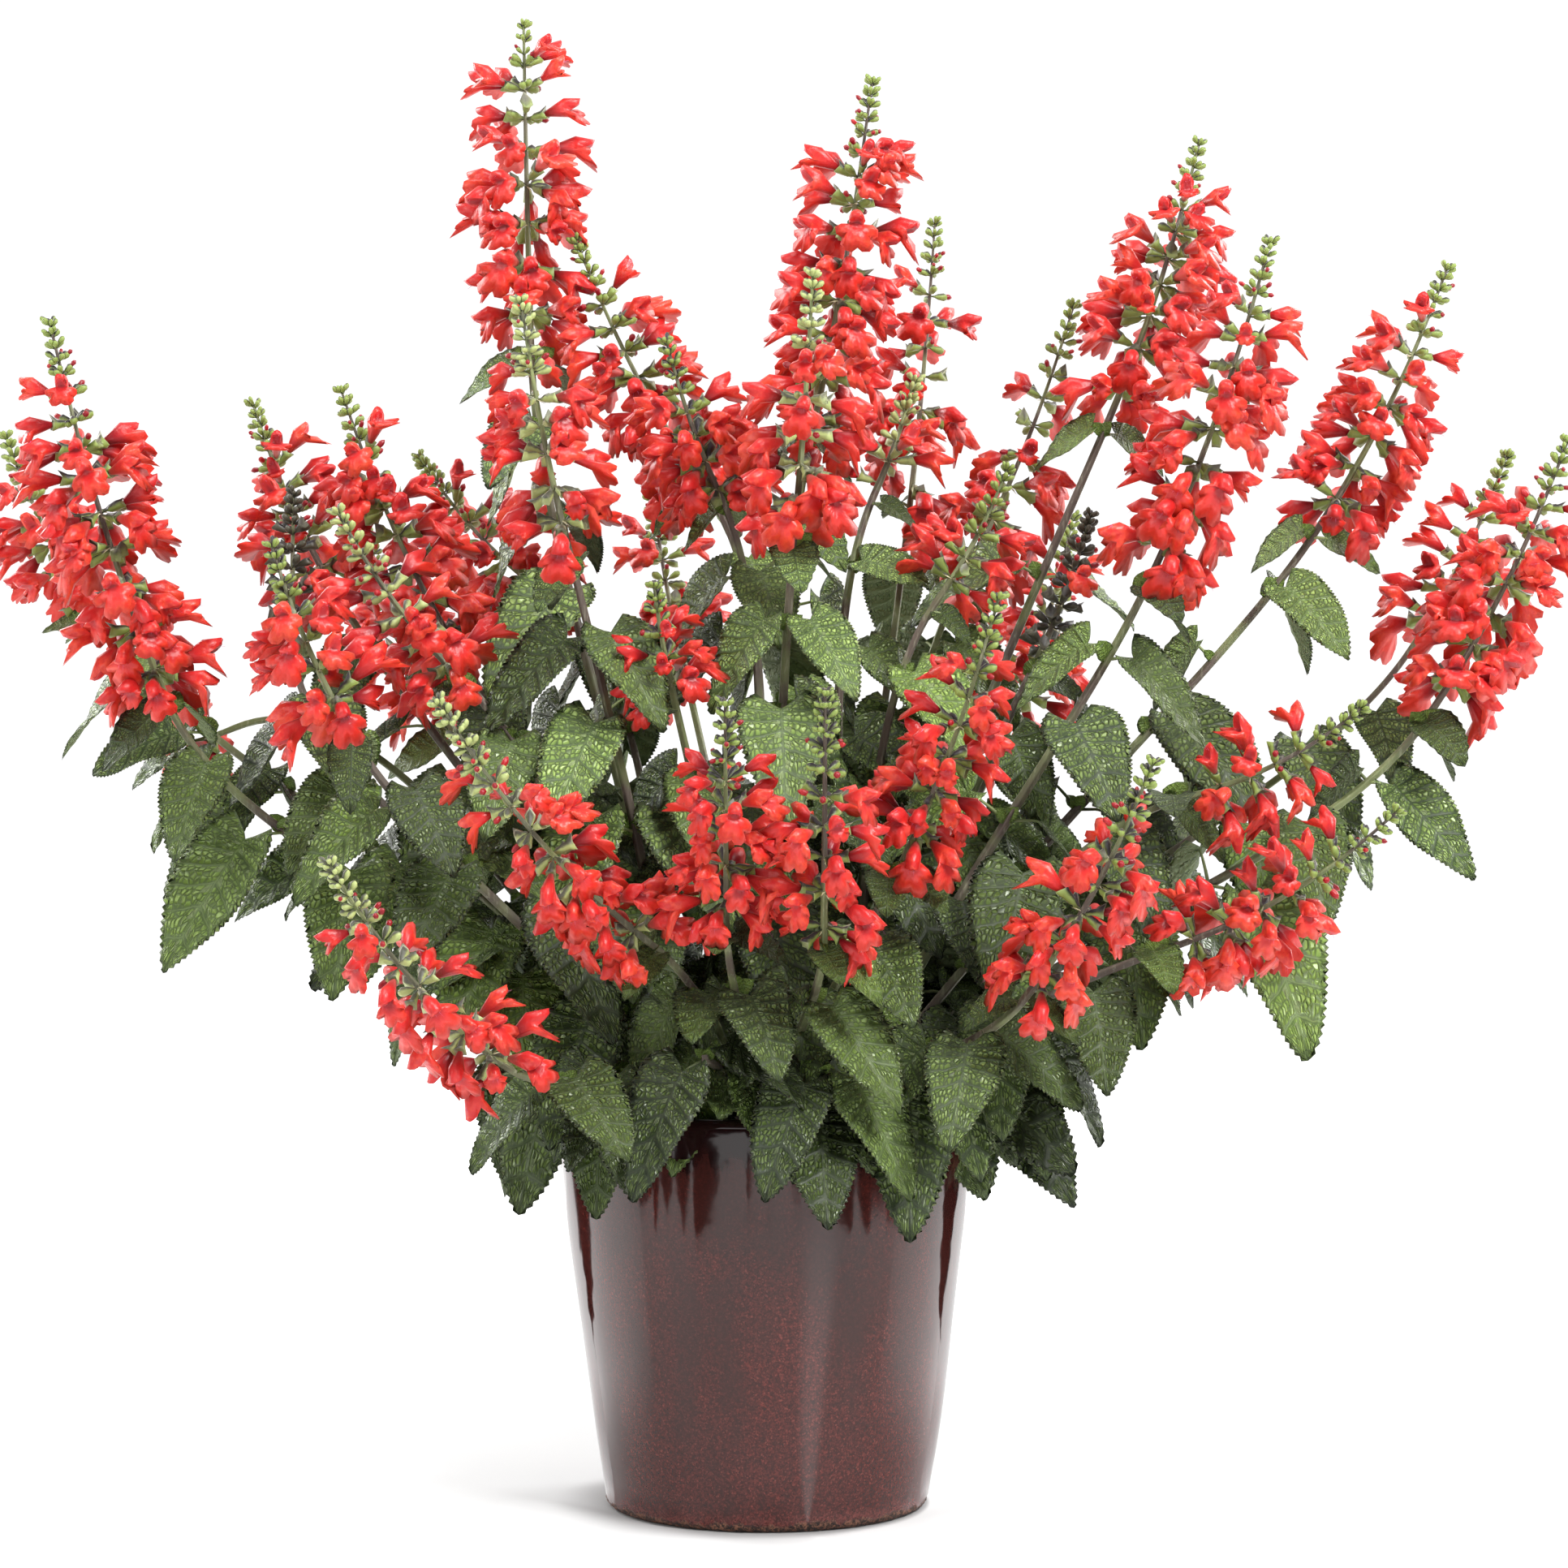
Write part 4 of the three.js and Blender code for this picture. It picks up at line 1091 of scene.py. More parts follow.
# How the flowers of a whorl differ: reach of hood and lip, how far the lip drops and spreads, how
# much the whole flower bows down
flowerShapes = {
    "a_open": {"hood": 1.0, "lip": 1.0, "drop": 1.0, "wide": 1.0, "bow": 0.5},
    "b_wide": {"hood": 0.96, "lip": 1.05, "drop": 1.12, "wide": 1.15, "bow": 2.0},
    "c_young": {"hood": 0.92, "lip": 0.9, "drop": 0.6, "wide": 0.62, "bow": -0.6},
    "d_arched": {"hood": 1.08, "lip": 0.94, "drop": 1.0, "wide": 0.9, "bow": 3.6},
    "e_lean": {"hood": 1.02, "lip": 1.25, "drop": 0.8, "wide": 1.05, "bow": 1.0},
}

# Half of a corolla in millimetres, from the top of the hood round to the notch of the lip: reach
# out of the calyx, half width and height of each point of a ring. The base and the inner ring, the
# mouth, have half as many points as the others.
corollaRings = {
    "base": [(12.0, 0, 1.6), (12.0, 1.2, 0.9), (12.0, 1.4, 0.1), (12.0, 1.3, -0.5), (12.0, 1.0, -1.0),
             (12.0, 0.55, -1.35), (12.0, 0, -1.5)],
    "middle": [(24.0, 0, 6.4), (23.8, 1.6, 6.0), (23.4, 2.8, 4.8), (22.8, 3.5, 2.8), (22.0, 3.4, 0.2),
               (22.0, 3.4, -0.8), (22.0, 3.2, -1.8), (22.0, 2.8, -2.6), (22.0, 2.3, -3.2),
               (22.0, 1.8, -3.6), (22.0, 1.2, -3.9), (22.0, 0.6, -4.1), (22.0, 0, -4.2)],
    "rim": [(32.6, 0, 5.0), (32.3, 1.6, 4.5), (31.6, 2.8, 3.0), (29.2, 3.4, 0.8), (24.8, 3.3, -1.0),
            (25.4, 6.4, -1.3), (27.2, 8.9, -3.0), (27.4, 8.6, -5.8), (26.0, 6.2, -7.2),
            (28.0, 6.9, -9.8), (29.6, 5.2, -12.4), (29.4, 2.4, -12.9), (28.2, 0, -11.4)],
    "mouth": [(31.6, 0, 2.0), (30.2, 1.9, 1.2), (25.2, 2.4, -0.8), (25.8, 2.4, -1.8), (26.1, 2.1, -2.6),
              (26.5, 1.2, -3.2), (26.7, 0, -3.4)],
}


# A closed ring from its half, which runs from the top to the bottom
def mirrored(half):
    return np.concatenate([half, half[-2:0:-1] * (1, -1, 1)])


def corollaMesh(name, shape, number):
    draws = np.random.default_rng(flowerSizes["seed"] + number)
    few = 2 * len(corollaRings["base"]) - 2
    many = 2 * few
    tube = corollaRings["base"][0][0]

    # A ring with its hood and its lip stretched
    def ring(label):
        half = np.array(corollaRings[label], float)
        isLip = np.arange(len(half)) > len(half) // 3
        forward = np.where(isLip, shape["lip"], shape["hood"])
        half[:, 0] = tube + (half[:, 0] - tube) * forward
        half[:, 1] *= np.where(isLip & (half[:, 0] > 24.8), shape["wide"], 1)
        half[:, 2] *= np.where(isLip & (half[:, 2] < -4.5), shape["drop"], 1)
        return mirrored(half)

    # Walls between a ring of few points and one of twice as many
    def joinRings(sparse, dense):
        return [
            [sparse + k, sparse + (k + 1) % few, *(dense + (2 * k + step) % many for step in (2, 1, 0))]
            for k in range(few)
        ]

    rim = ring("rim") + draws.uniform(-1, 1, (many, 3)) * flowerSizes["ruffle"]
    points = np.concatenate([ring("base"), ring("middle"), rim, ring("mouth"), [[24.4, 0, 0.2]]])
    points[:, 2] -= shape["bow"] * ((points[:, 0] - tube) / 18) ** 2
    middleStart, rimStart, mouthStart = few, few + many, few + 2 * many
    faces = joinRings(0, middleStart) + ringWalls([middleStart, rimStart], many)
    faces += [face[::-1] for face in joinRings(mouthStart, rimStart)]
    faces += tipFan(mouthStart, few, len(points) - 1) + endCap(0, few, True)
    # Columns run from the top round by +Y, so the walls would face in
    faces = [face[::-1] for face in faces]
    # How much each point of a ring belongs to the lip
    fewLow = [0, 0, 0.4, 1, 1, 1, 1, 1, 1, 1, 0.4, 0]
    manyLow = [0, 0, 0, 0, 0.4, *[1] * 15, 0.4, 0, 0, 0]
    places = [[0, low, 0] for low in fewLow]
    places += [[reach, low, 0] for reach in (0.75, 1) for low in manyLow]
    places += [[0.5, low, 1] for low in fewLow] + [[0.0, 0.5, 1]]
    skin = Skin().add(points * mm, faces, petalPlace=places)
    # Two stamens come out from under the hood
    hoodTip = tube + (31 - tube) * shape["hood"]
    for k in (-1, 1):
        end = hoodTip + flowerSizes["threadReach"] + k * 0.8
        addThread(skin, (hoodTip - 4, 0.5 * k, 2.6), (end, 1.4 * k, 0.2 - shape["bow"]))
    return skin.mesh(name)


def addThread(skin, start, end):
    angles = circle(3)
    ring = np.stack([0 * angles, np.cos(angles), np.sin(angles)], axis=1)
    points = np.array([*(start + flowerSizes["threadRadius"] * ring), end])
    places = np.tile((0.5, 0.0, 2.0), (4, 1))
    skin.add(points * mm, tipFan(0, 3, 3) + endCap(0, 3, True), petalPlace=places)


# Calyces differ in length, the width of the mouth, how far the upper tooth stands up and whether a
# cream bract hangs under them
calyxShapes = {
    "a_bell": {"long": 1.0, "mouth": 1.0, "tooth": 1.0, "bract": True},
    "b_bell": {"long": 0.94, "mouth": 1.15, "tooth": 1.2, "bract": False},
    "c_slim": {"long": 0.9, "mouth": 0.8, "tooth": 0.5, "bract": False},
    "d_bell": {"long": 1.06, "mouth": 1.05, "tooth": 0.8, "bract": True},
    "e_bell": {"long": 0.98, "mouth": 0.95, "tooth": 1.1, "bract": False},
}

# Rings of a calyx and of a closed one in millimetres: reach, half width and half height. Then the
# points of the mouth's teeth, from the top to the bottom.
calyxRings = [(1.0, 0.45, 0.45), (3.6, 0.6, 0.6), (5.6, 1.8, 1.9), (9.6, 2.2, 2.4)]
budRings = [(1.0, 0.4, 0.4), (2.6, 0.6, 0.6), (4.8, 1.6, 1.7), (8.0, 2.1, 2.3), (9.8, 1.3, 1.5)]
mouthTeeth = [(14.0, 0, 4.4), (11.8, 2.7, 1.9), (13.4, 2.3, -2.4), (12.6, 0, -2.9)]
sixths = np.arange(6) * math.pi / 3


# Six points round the X axis, the first at the top
def sixRing(reach, across, tall, lift=0):
    return np.stack([np.full(6, reach), across * np.sin(sixths), tall * np.cos(sixths) + lift], axis=1)


# A calyx: a ribbed bell on a short stalk, with one tooth above and two below. A closed one is a bud.
def calyxMesh(name, shape, closed=False):
    long, mouth = shape["long"], shape["mouth"]
    rings = [sixRing(x * long, across, tall) for x, across, tall in (budRings if closed else calyxRings)]
    reaches = [0, 0.15, 0.45, 0.75, 0.9]
    if closed:
        apex = (10.6 * long, 0, 0.3)
    else:
        half = np.array(mouthTeeth) * (long, mouth, mouth)
        half[0, 2] *= shape["tooth"]
        rings.append(mirrored(half))
        reaches[-1] = 1
        apex = (8.5, 0, 0)
    places = [[reach, high, 0] for reach in reaches[:len(rings)] for high in np.cos(sixths)]
    places.append([0.95, 0.5, 0 if closed else 1])
    skin = Skin().add(*pointedShape(rings, apex), calyxPlace=places)
    if shape["bract"] and not closed:
        bract = np.array([(0.6, -1.0, -0.4), (0.6, 1.0, -0.4), (1.0, 0, 0.2), (5.4, 0, -2.6)])
        skin.add(bract * mm, tipFan(0, 3, 3) + endCap(0, 3, True), calyxPlace=[[0.5, 0, 2]] * 4)
    return skin.mesh(name)


# The rounded red tip of a corolla that is about to open
def budTipMesh(name, reach):
    rings = [
        sixRing(x, wide, wide * 1.1, 0.2)
        for x, wide in ((8.0, 0.9), (9.6, 1.3), (10.0 + reach * 0.6, 1.5), (10.0 + reach, 1.1))
    ]
    points, faces = pointedShape(rings, (10.6 + reach * 1.2, 0, 0.1))
    return Skin().add(points, faces, petalPlace=[[-0.1, 0, 0]] * len(points)).mesh(name)


petalColours = {
    "deep": (0.22, 0.004, 0.010),
    "scarlet": (0.50, 0.014, 0.014),
    "lip": (0.62, 0.028, 0.016),
    "orange": (0.72, 0.075, 0.026),
    "throat": (0.36, 0.007, 0.012),
    "edge": (0.80, 0.15, 0.13),
    "stamen": (0.62, 0.16, 0.32),
}


def petalPaint():
    paint = Paint("scarlet petals", petalColours)
    reach, lower, part = paint.split(paint.attribute("petalPlace"))
    tint = paint.attribute("tint", "Fac")
    grain = paint.noise(paint.place(), 340, 3, 0.6)
    paint.coat(paint.ramp(reach + tint * 0.7, 0.2, 1.0), "scarlet")
    paint.coat(lower * paint.ramp(reach, 0.5, 0.9), "lip")
    glow = paint.ramp(grain + tint * 0.35, 0.62, 0.95) * paint.ramp(reach, 0.4, 0.9)
    paint.coat(glow * 0.6, "orange")
    stamen = paint.math("GREATER_THAN", part, 1.5)
    inside = paint.math("GREATER_THAN", part, 0.5) - stamen
    paint.coat(inside * paint.ramp(reach, 0.5, 0.0), "throat")
    # Painted highlight: lighter pink where the petals are seen edge on, as of light shining through them
    paint.coat(paint.ramp(paint.edge(0.25), 0.3, 1.0) * 0.6, "edge")
    paint.coat(stamen, "stamen")
    return paint.finish({
        "Roughness": 0.38,
        "Specular IOR Level": 0.45,
        # A faint glow in the petals' own colour paints light shining through them
        "Emission Color": paint.colour,
        "Emission Strength": 0.04,
        "Normal": paint.bump(grain, 0.5, 0.0008),
    })


calyxColours = {
    "green calyx": {"main": (0.21, 0.28, 0.060), "dark": (0.022, 0.015, 0.020), "pale": (0.50, 0.50, 0.32)},
    "pale calyx": {"main": (0.36, 0.42, 0.15), "dark": (0.07, 0.07, 0.05), "pale": (0.66, 0.68, 0.46)},
    "dark calyx": {"main": (0.05, 0.045, 0.026), "dark": (0.012, 0.008, 0.012), "pale": (0.20, 0.18, 0.12)},
}
bractColour = (0.72, 0.66, 0.42)


def calyxPaint(name):
    paint = Paint(name, calyxColours[name])
    reach, high, part = paint.split(paint.attribute("calyxPlace"))
    grain = paint.noise(paint.place(), 420, 2, 0.5)
    paint.coat(paint.ramp(high + grain * 0.7, 0.4, 1.15), "dark")
    paint.coat(paint.ramp(reach, 0.93, 1.0) * 0.25, "pale")
    paint.coat(paint.ramp(reach, 0.28, 0.05) * 0.6, "dark")
    # Paler where the calyx is seen edge on: partly its hairs, partly a painted rim light
    paint.coat(paint.ramp(paint.edge(0.2), 0.35, 0.95) * 0.7, "pale")
    paint.coat(paint.math("GREATER_THAN", part, 1.5), bractColour)
    return paint.finish({"Roughness": 0.5, "Normal": paint.bump(grain, 0.4, 0.0005)})


# Disorder of a whorl's pieces, each from least to most: place along the stem, turn round it, how
# much they rise or sink, roll and size
whorlDraws = {
    "along": (-1.2 * mm, 1.2 * mm),
    "turn": (-0.32, 0.32),
    "sink": (-1.0, 0.55),
    "roll": (-0.35, 0.35),
    "size": (0.88, 1.1),
}


# The tree that sets whorls of pieces on a raceme's line. Whorls stand further apart away from the
# tip. In a whorl, pieces stand evenly round the stem with some disorder.
def whorlGrowth():
    tree = Growth("flowerWhorls", {
        "Whorls": 26,
        "In a whorl": 7,
        "First": 4 * mm,
        "Gap": 7 * mm,
        "Gap growth": 1.6 * mm,
        "From": 0.0,
        "To": 1.0,
        "Share": 1.0,
        "First share": 1.0,
        "Full at": 1.0,
        "Others": 0.0,
        "Small": 0.4,
        "Large": 1.0,
        "Grown at": 50 * mm,
        "Lift young": 0.75,
        "Lift old": -0.1,
        "Old at": 110 * mm,
        "Droop": 0.5,
        "Upright": 0.9,
        "Pieces": bpy.types.Collection,
        "Material": bpy.types.Material,
        "Seed": 1,
    })
    given = tree.input
    line = tree.facedLine()
    length = tree.node("GeometryNodeCurveLength", None, {"Curve": line})
    count = given("In a whorl")
    index = tree.node("GeometryNodeInputIndex")
    whorl = tree.math("FLOOR", (index + 0.5) / count)
    slot = index - whorl * count
    down = given("First") + whorl * given("Gap")
    down = down + whorl * (whorl - 1) * given("Gap growth") * 0.5
    down = down + tree.random(*whorlDraws["along"], 1)
    sockets = {"Curves": line, "Length": length - down}
    settings = {"mode": "LENGTH", "data_type": "FLOAT"}
    spot = tree.node("GeometryNodeSampleCurve", settings, sockets, "Position")
    axis, first = tree.other(spot, "Tangent"), tree.other(spot, "Normal")
    second = tree.vectorMath("CROSS_PRODUCT", axis, first)
    turn = (slot / count + tree.math("MODULO", whorl, 2.0) / count * 0.5) * (2 * math.pi)
    turn = turn + tree.random(*whorlDraws["turn"], 2)
    across = tree.scaled(first, tree.math("COSINE", turn))
    out = tree.vectorMath("ADD", across, tree.scaled(second, tree.math("SINE", turn)))
    age = tree.math("DIVIDE", down, given("Old at"), True)
    lift = given("Lift young") + age * (given("Lift old") - given("Lift young"))
    sink = tree.random(*whorlDraws["sink"], 3) * given("Droop") * (age + 0.25)
    aim = tree.vectorMath("ADD", out, tree.scaled(axis, lift))
    aim = tree.vectorMath("ADD", aim, tree.vector(0.0, 0.0, sink))
    aim = tree.vectorMath("NORMALIZE", aim)
    pose = tree.node("FunctionNodeAlignRotationToVector", {"axis": "X"}, {"Vector": aim})
    hoodward = tree.vectorMath("ADD", axis, tree.vector(0.0, 0.0, given("Upright")))
    settings = {"axis": "Z", "pivot_axis": "X"}
    sockets = {"Rotation": pose, "Vector": hoodward}
    pose = tree.node("FunctionNodeAlignRotationToVector", settings, sockets)
    roll = tree.vector(tree.random(*whorlDraws["roll"], 8), 0.0, 0.0)
    sockets = {"Rotation": pose, "Rotate By": roll}
    pose = tree.node("FunctionNodeRotateRotation", {"rotation_space": "LOCAL"}, sockets)
    grown = tree.ramp(down, 0.0, given("Grown at"), False)
    size = given("Small") + grown * (given("Large") - given("Small"))
    size = size * tree.random(*whorlDraws["size"], 4)
    inside = tree.math("LESS_THAN", down, length - 5 * mm)
    inside = inside * tree.math("GREATER_THAN", down, given("From"))
    inside = inside * tree.math("LESS_THAN", down, given("To"))
    share = tree.node("ShaderNodeMapRange", None, {
        "Value": down,
        "From Min": given("From"),
        "From Max": given("Full at"),
        "To Min": given("First share"),
        "To Max": given("Share"),
    })
    # Others picks the places that the share leaves out
    chosen = tree.math("LESS_THAN", tree.random(0.0, 1.0, 5), share)
    inside = inside * tree.math("ABSOLUTE", chosen - given("Others"))
    sockets = {"Count": given("Whorls") * count, "Position": spot}
    points = tree.node("GeometryNodePoints", None, sockets)
    sockets = {"Collection": given("Pieces"), "Separate Children": True, "Reset Children": True}
    choices = tree.node("GeometryNodeCollectionInfo", None, sockets)
    pieces = tree.node("GeometryNodeInstanceOnPoints", None, {
        "Points": points,
        "Selection": inside,
        "Instance": choices,
        "Pick Instance": True,
        "Instance Index": tree.random(0, 4, 6, "INT"),
        "Rotation": pose,
        "Scale": size,
    })
    settings = {"data_type": "FLOAT", "domain": "INSTANCE"}
    sockets = {"Geometry": pieces, "Name": "tint", "Value": tree.random(0.0, 1.0, 7)}
    tree.finish(tree.node("GeometryNodeStoreNamedAttribute", settings, sockets))
    return tree


def pieceCollection(name, meshes):
    collection = bpy.data.collections.new(name)
    for mesh in meshes:
        collection.objects.link(bpy.data.objects.new(mesh.name, mesh))
    return collection


# Colour of the calyces, spacing of the whorls, share of them in flower when full, where the buds at
# the tip end and the flowers become full in millimetres, and how small the first buds are
racemeLooks = {
    "full": {"calyx": "green calyx", "stretch": 1.06, "bloom": 0.9, "buds": 34, "full": 90, "small": 0.6},
    "tall": {"calyx": "green calyx", "stretch": 1.4, "bloom": 0.92, "buds": 20, "full": 95, "small": 0.55},
    "thin": {"calyx": "green calyx", "stretch": 1.15, "bloom": 0.75, "buds": 38, "full": 120, "small": 0.6},
    "pale": {"calyx": "pale calyx", "stretch": 1.0, "bloom": 0.9, "buds": 40, "full": 95, "small": 0.65},
    "spent": {"calyx": "dark calyx", "stretch": 0.8, "bloom": 0.08, "buds": 20, "full": 60, "small": 0.6},
}

# In millimetres, with the sizes of flowers as factors. Racemes whose tip is low are smaller.
whorlSizes = {
    "gap": 7,
    "growth": 1.5,
    "budGap": 5.5,
    "budGrowth": 0.7,
    "firstShare": 0.16,
    "youngSize": 0.82,
    "oldSize": 1.17,
    "grown": 85,
    "lowTip": 515,
    "lowSize": 0.9,
    "budShare": 0.35,
    "fullShare": 0.7,
}

# Inputs of the whorls' tree for the buds at the tip, the red that some of them show, the calyces
# whose corolla isn't open, and those of them that show its red tip
tipBudInputs = {"In a whorl": 8, "Lift young": 1.1, "Lift old": 0.4, "Old at": 40 * mm}
redTipInputs = {"From": 16 * mm, "First share": 0.05, "Share": 0.4}
unopenedInputs = {"Others": 1.0, "Small": 1.0, "Large": 1.15}
halfOpenInputs = {"First share": 0.6}


def makeRacemes(stemPaints):
    corollas = pieceCollection("corollas", [
        corollaMesh(f"corolla_{name}", shape, k) for k, (name, shape) in enumerate(flowerShapes.items())
    ])
    calyces = pieceCollection("calyces", [
        calyxMesh(f"calyx_{name}", shape) for name, shape in calyxShapes.items()
    ])
    buds = pieceCollection("buds", [
        calyxMesh(f"bud_{name}", shape, True) for name, shape in calyxShapes.items()
    ])
    budTips = pieceCollection("budTips", [
        budTipMesh(f"budTip_{k}", 1.2 + 0.5 * k) for k in range(5)
    ])
    petals = petalPaint()
    calyxPaints = {name: calyxPaint(name) for name in calyxColours}
    whorls = whorlGrowth()
    stemTree = stemGrowth()
    total = 0
    for number, (foot, tip, _, turn, look, count) in enumerate(stems):
        style = racemeLooks[look]
        spike = stemLines(foot, tip)[1]
        line = lineMesh(spike, turn, stemSizes["footWidth"], stemSizes["tipWidth"])
        budReach = min(style["buds"] * mm, spike.length * whorlSizes["budShare"])
        size = whorlSizes["lowSize"] if tip[2] < whorlSizes["lowTip"] else 1.0
        shared = {
            "In a whorl": count,
            "Gap": whorlSizes["gap"] * mm * style["stretch"],
            "Gap growth": whorlSizes["growth"] * mm * style["stretch"],
            "Seed": 10 * number,
        }
        tipBuds = {
            **shared,
            **tipBudInputs,
            "Gap": whorlSizes["budGap"] * mm * style["stretch"],
            "Gap growth": whorlSizes["budGrowth"] * mm,
            "To": budReach,
            "Small": style["small"],
        }
        opened = {
            **shared,
            "From": budReach,
            "First share": whorlSizes["firstShare"] if look != "spent" else 0.0,
            "Full at": min(style["full"] * mm, spike.length * whorlSizes["fullShare"]),
            "Small": whorlSizes["youngSize"] * size,
            "Large": whorlSizes["oldSize"] * size,
            "Grown at": whorlSizes["grown"] * mm,
        }
        unopened = {**opened, **unopenedInputs}
        halfOpen = {**unopened, **halfOpenInputs}
        redTips = {**tipBuds, **redTipInputs, "Full at": budReach}
        green = calyxPaints[style["calyx"]]

        def grow(inputs, pieces, material):
            return whorls.run(line, {**inputs, "Pieces": pieces, "Material": material})

        flowers = [
            grow({**opened, "Share": style["bloom"]}, corollas, petals),
            grow(halfOpen, budTips, petals),
            grow(redTips, budTips, petals),
        ]
        greens = [
            grow(opened, calyces, green),
            grow(unopened, buds, green),
            grow(tipBuds, buds, green),
            stemTree.run(line, {"Material": stemPaints["pale stem" if look == "pale" else "green stem"]}),
        ]
        for kind, slot, meshes in (("flowers", "flowers", flowers), ("spike", "foliage", greens)):
            name = f"{kind}_{number + 1:02d}"
            joined = joinMeshes(name, meshes)
            total += len(joined.loop_triangles)
            addPiece(name, joined, [f"raceme_{number + 1:02d}"])
        bpy.data.meshes.remove(line)
    for collection in (corollas, calyces, buds, budTips):
        for thing in list(collection.objects):
            bpy.data.objects.remove(thing)
    return total


def makeLeafyStems(stemPaints, leafMaterial):
    stemTree = stemGrowth()
    clumps = range(stemSizes["crownCount"] + 1)
    leafSkins = [Skin() for _ in clumps]
    woods = [[] for _ in clumps]
    draws = np.random.default_rng(leafSizes["seed"])
    counted = {"solid": 0, "added": 0}
    growing = [(*stem[:4], leafPairs + lowPairs) for stem in stems]
    for angle, reach, height, turn in shoots:
        cos, sin = math.cos(radians(angle)), math.sin(radians(angle))
        foot = (reach * cos, reach * sin, height)
        tip = ((reach + 10) * cos, (reach + 10) * sin, height + 5)
        growing.append((foot, tip, (0, 1), turn, shootPairs))
    nodes = [frame["nodes"][f"leafy_stems_{index + 1}"] for index in clumps]
    tips = [np.array([v.co for v in node.data.vertices]) for node in nodes]
    for number, (foot, tip, pairs, turn, sizes) in enumerate(growing):
        index = crownOf(foot)
        stalk = stemLines(foot, tip)[0]
        line = lineMesh(stalk, turn, stemSizes["rootWidth"], stemSizes["footWidth"])
        woods[index].append(stemTree.run(line, {"Material": stemPaints["green stem"]}))
        bpy.data.meshes.remove(line)
        skin = leafSkins[index]
        for leaf in leavesOf(number, stalk, turn, sizes, pairs, tips[index]):
            counted["solid" if leaf["solid"] else "added"] += 1
            # Higher leaves get more painted sheen in their grey and less painted shade in their brightness
            high = np.clip((leaf["base"][2] - leafSizes["lowest"]) / leafSizes["rise"], 0, 1)
            tint = [
                np.clip(low + more * high + draws.uniform(least, most), 0, 1)
                for low, more, least, most in leafTints.values()
            ]
            bright = draws.uniform(leafBrightAndShade["least"], leafBrightAndShade["most"])
            tint.append(bright * (leafBrightAndShade["low"] + leafBrightAndShade["rise"] * high))
            grid = "large" if leaf["length"] > leafSizes["largeFrom"] else "small"
            addLeaf(skin, leaf, tint, grid, number * 20 + len(skin.points))
            addPetiole(skin, leaf, tint)
            if draws.uniform() < axilPairs["share"]:
                addAxilPair(skin, leaf, number * 20 + leaf["pair"])
    for index, skin in enumerate(leafSkins):
        replaced = [f"leafy_stems_{index + 1}"]
        addPiece(f"leaves_{index + 1}", skin.mesh(f"leaves_{index + 1}", leafMaterial), replaced)
        crown = crownMesh(index, stemPaints["woody crown"])
        joined = joinMeshes(f"stems_{index + 1}", [crown, *woods[index]])
        addPiece(f"stems_{index + 1}", joined, replaced)
    print("leaves:", counted)


# Studio

studio = {
    "camera": (0.0095, -2.0, 0.3975),
    "lens": 82.8,
    "sensor": 36,
    "worldFront": 0.08,
    "worldTop": 0.3,
    "worldBack": 1.08,
    "floorSize": 12,
    "floorGlow": 0.02,
    "farGlow": 0.75,
    "cardSeed": 8,
    "cardSteps": 4,
}

# Lamps: place, aim, width, height and power
lamps = [
    ("key", (1.3, -1.5, 1.9), (0.0, 0.0, 0.40), 0.9, 0.9, 82),
    ("fill", (-1.7, -1.3, 1.2), (0.0, 0.0, 0.4), 0.8, 1.4, 22),
    ("top", (-0.2, -0.7, 2.3), (0.0, 0.0, 0.4), 0.9, 0.6, 24),
    ("left rim", (-1.5, 1.1, 1.3), (0.0, 0.0, 0.45), 0.6, 1.2, 30),
    ("right rim", (1.5, 1.1, 1.3), (0.0, 0.0, 0.45), 0.6, 1.2, 30),
]

# Cards on the floor that only glossy surfaces see. The white ones edge the pot with light, the side ones
# lighten its flanks, and the band card lays a soft band on its front. The black and front cards are black
# sheets that paint the dark reflection of the foliage into the glaze: the black ones part the white edges
# from the pot, and the front one darkens its front under the leaves. Each has its least and its most glow,
# a height, how ragged it is, its hands, where -1 is its twin on the left, and its corners.
cards = {
    "side card": (2.6, 2.6, 0.001, 0.0, (1, -1), [
        (0.091, 0.0), (0.085, -0.03), (0.075, -0.052), (0.175, -0.101), (0.305, -0.135), (0.719, -0.237),
        (1.3, -0.30), (1.3, 0.786), (0.838, 0.786), (0.656, 0.588), (0.480, 0.396), (0.339, 0.242),
        (0.207, 0.101), (0.124, 0.014),
    ]),
    "white card": (0.9, 2.4, 0.002, 0.0, (1, -1), [
        (0.085, -0.026), (0.125, 0.011), (0.178, 0.068), (0.239, 0.131), (0.338, 0.247), (0.476, 0.411),
        (0.610, 0.568), (0.728, 0.724), (0.820, 0.859), (0.0, 1.3), (0.0, 0.0895), (0.045, 0.0775),
        (0.0775, 0.045), (0.0895, 0.0),
    ]),
    "black card": (0.0, 0.0, 0.003, 0.010, (1, -1), [
        (0.338, 0.247), (0.476, 0.411), (0.610, 0.568), (0.728, 0.724), (0.820, 0.859), (1.10, 0.60),
        (0.881, 0.352), (0.777, 0.336), (0.657, 0.314), (0.507, 0.261), (0.420, 0.241),
    ]),
    "front card": (0.0, 0.0, 0.003, 0.024, (1, -1), [
        (0.0, -0.55), (0.15, -0.54), (0.30, -0.48), (0.44, -0.39), (0.56, -0.25), (0.63, -0.10),
        (1.2, -0.2), (1.0, -0.9), (0.0, -1.3),
    ]),
    "band card": (2.8, 2.8, 0.002, 0.0, (1,), [
        (0.018, -0.0905), (0.130, -0.570), (0.460, -0.520), (0.066, -0.066),
    ]),
}


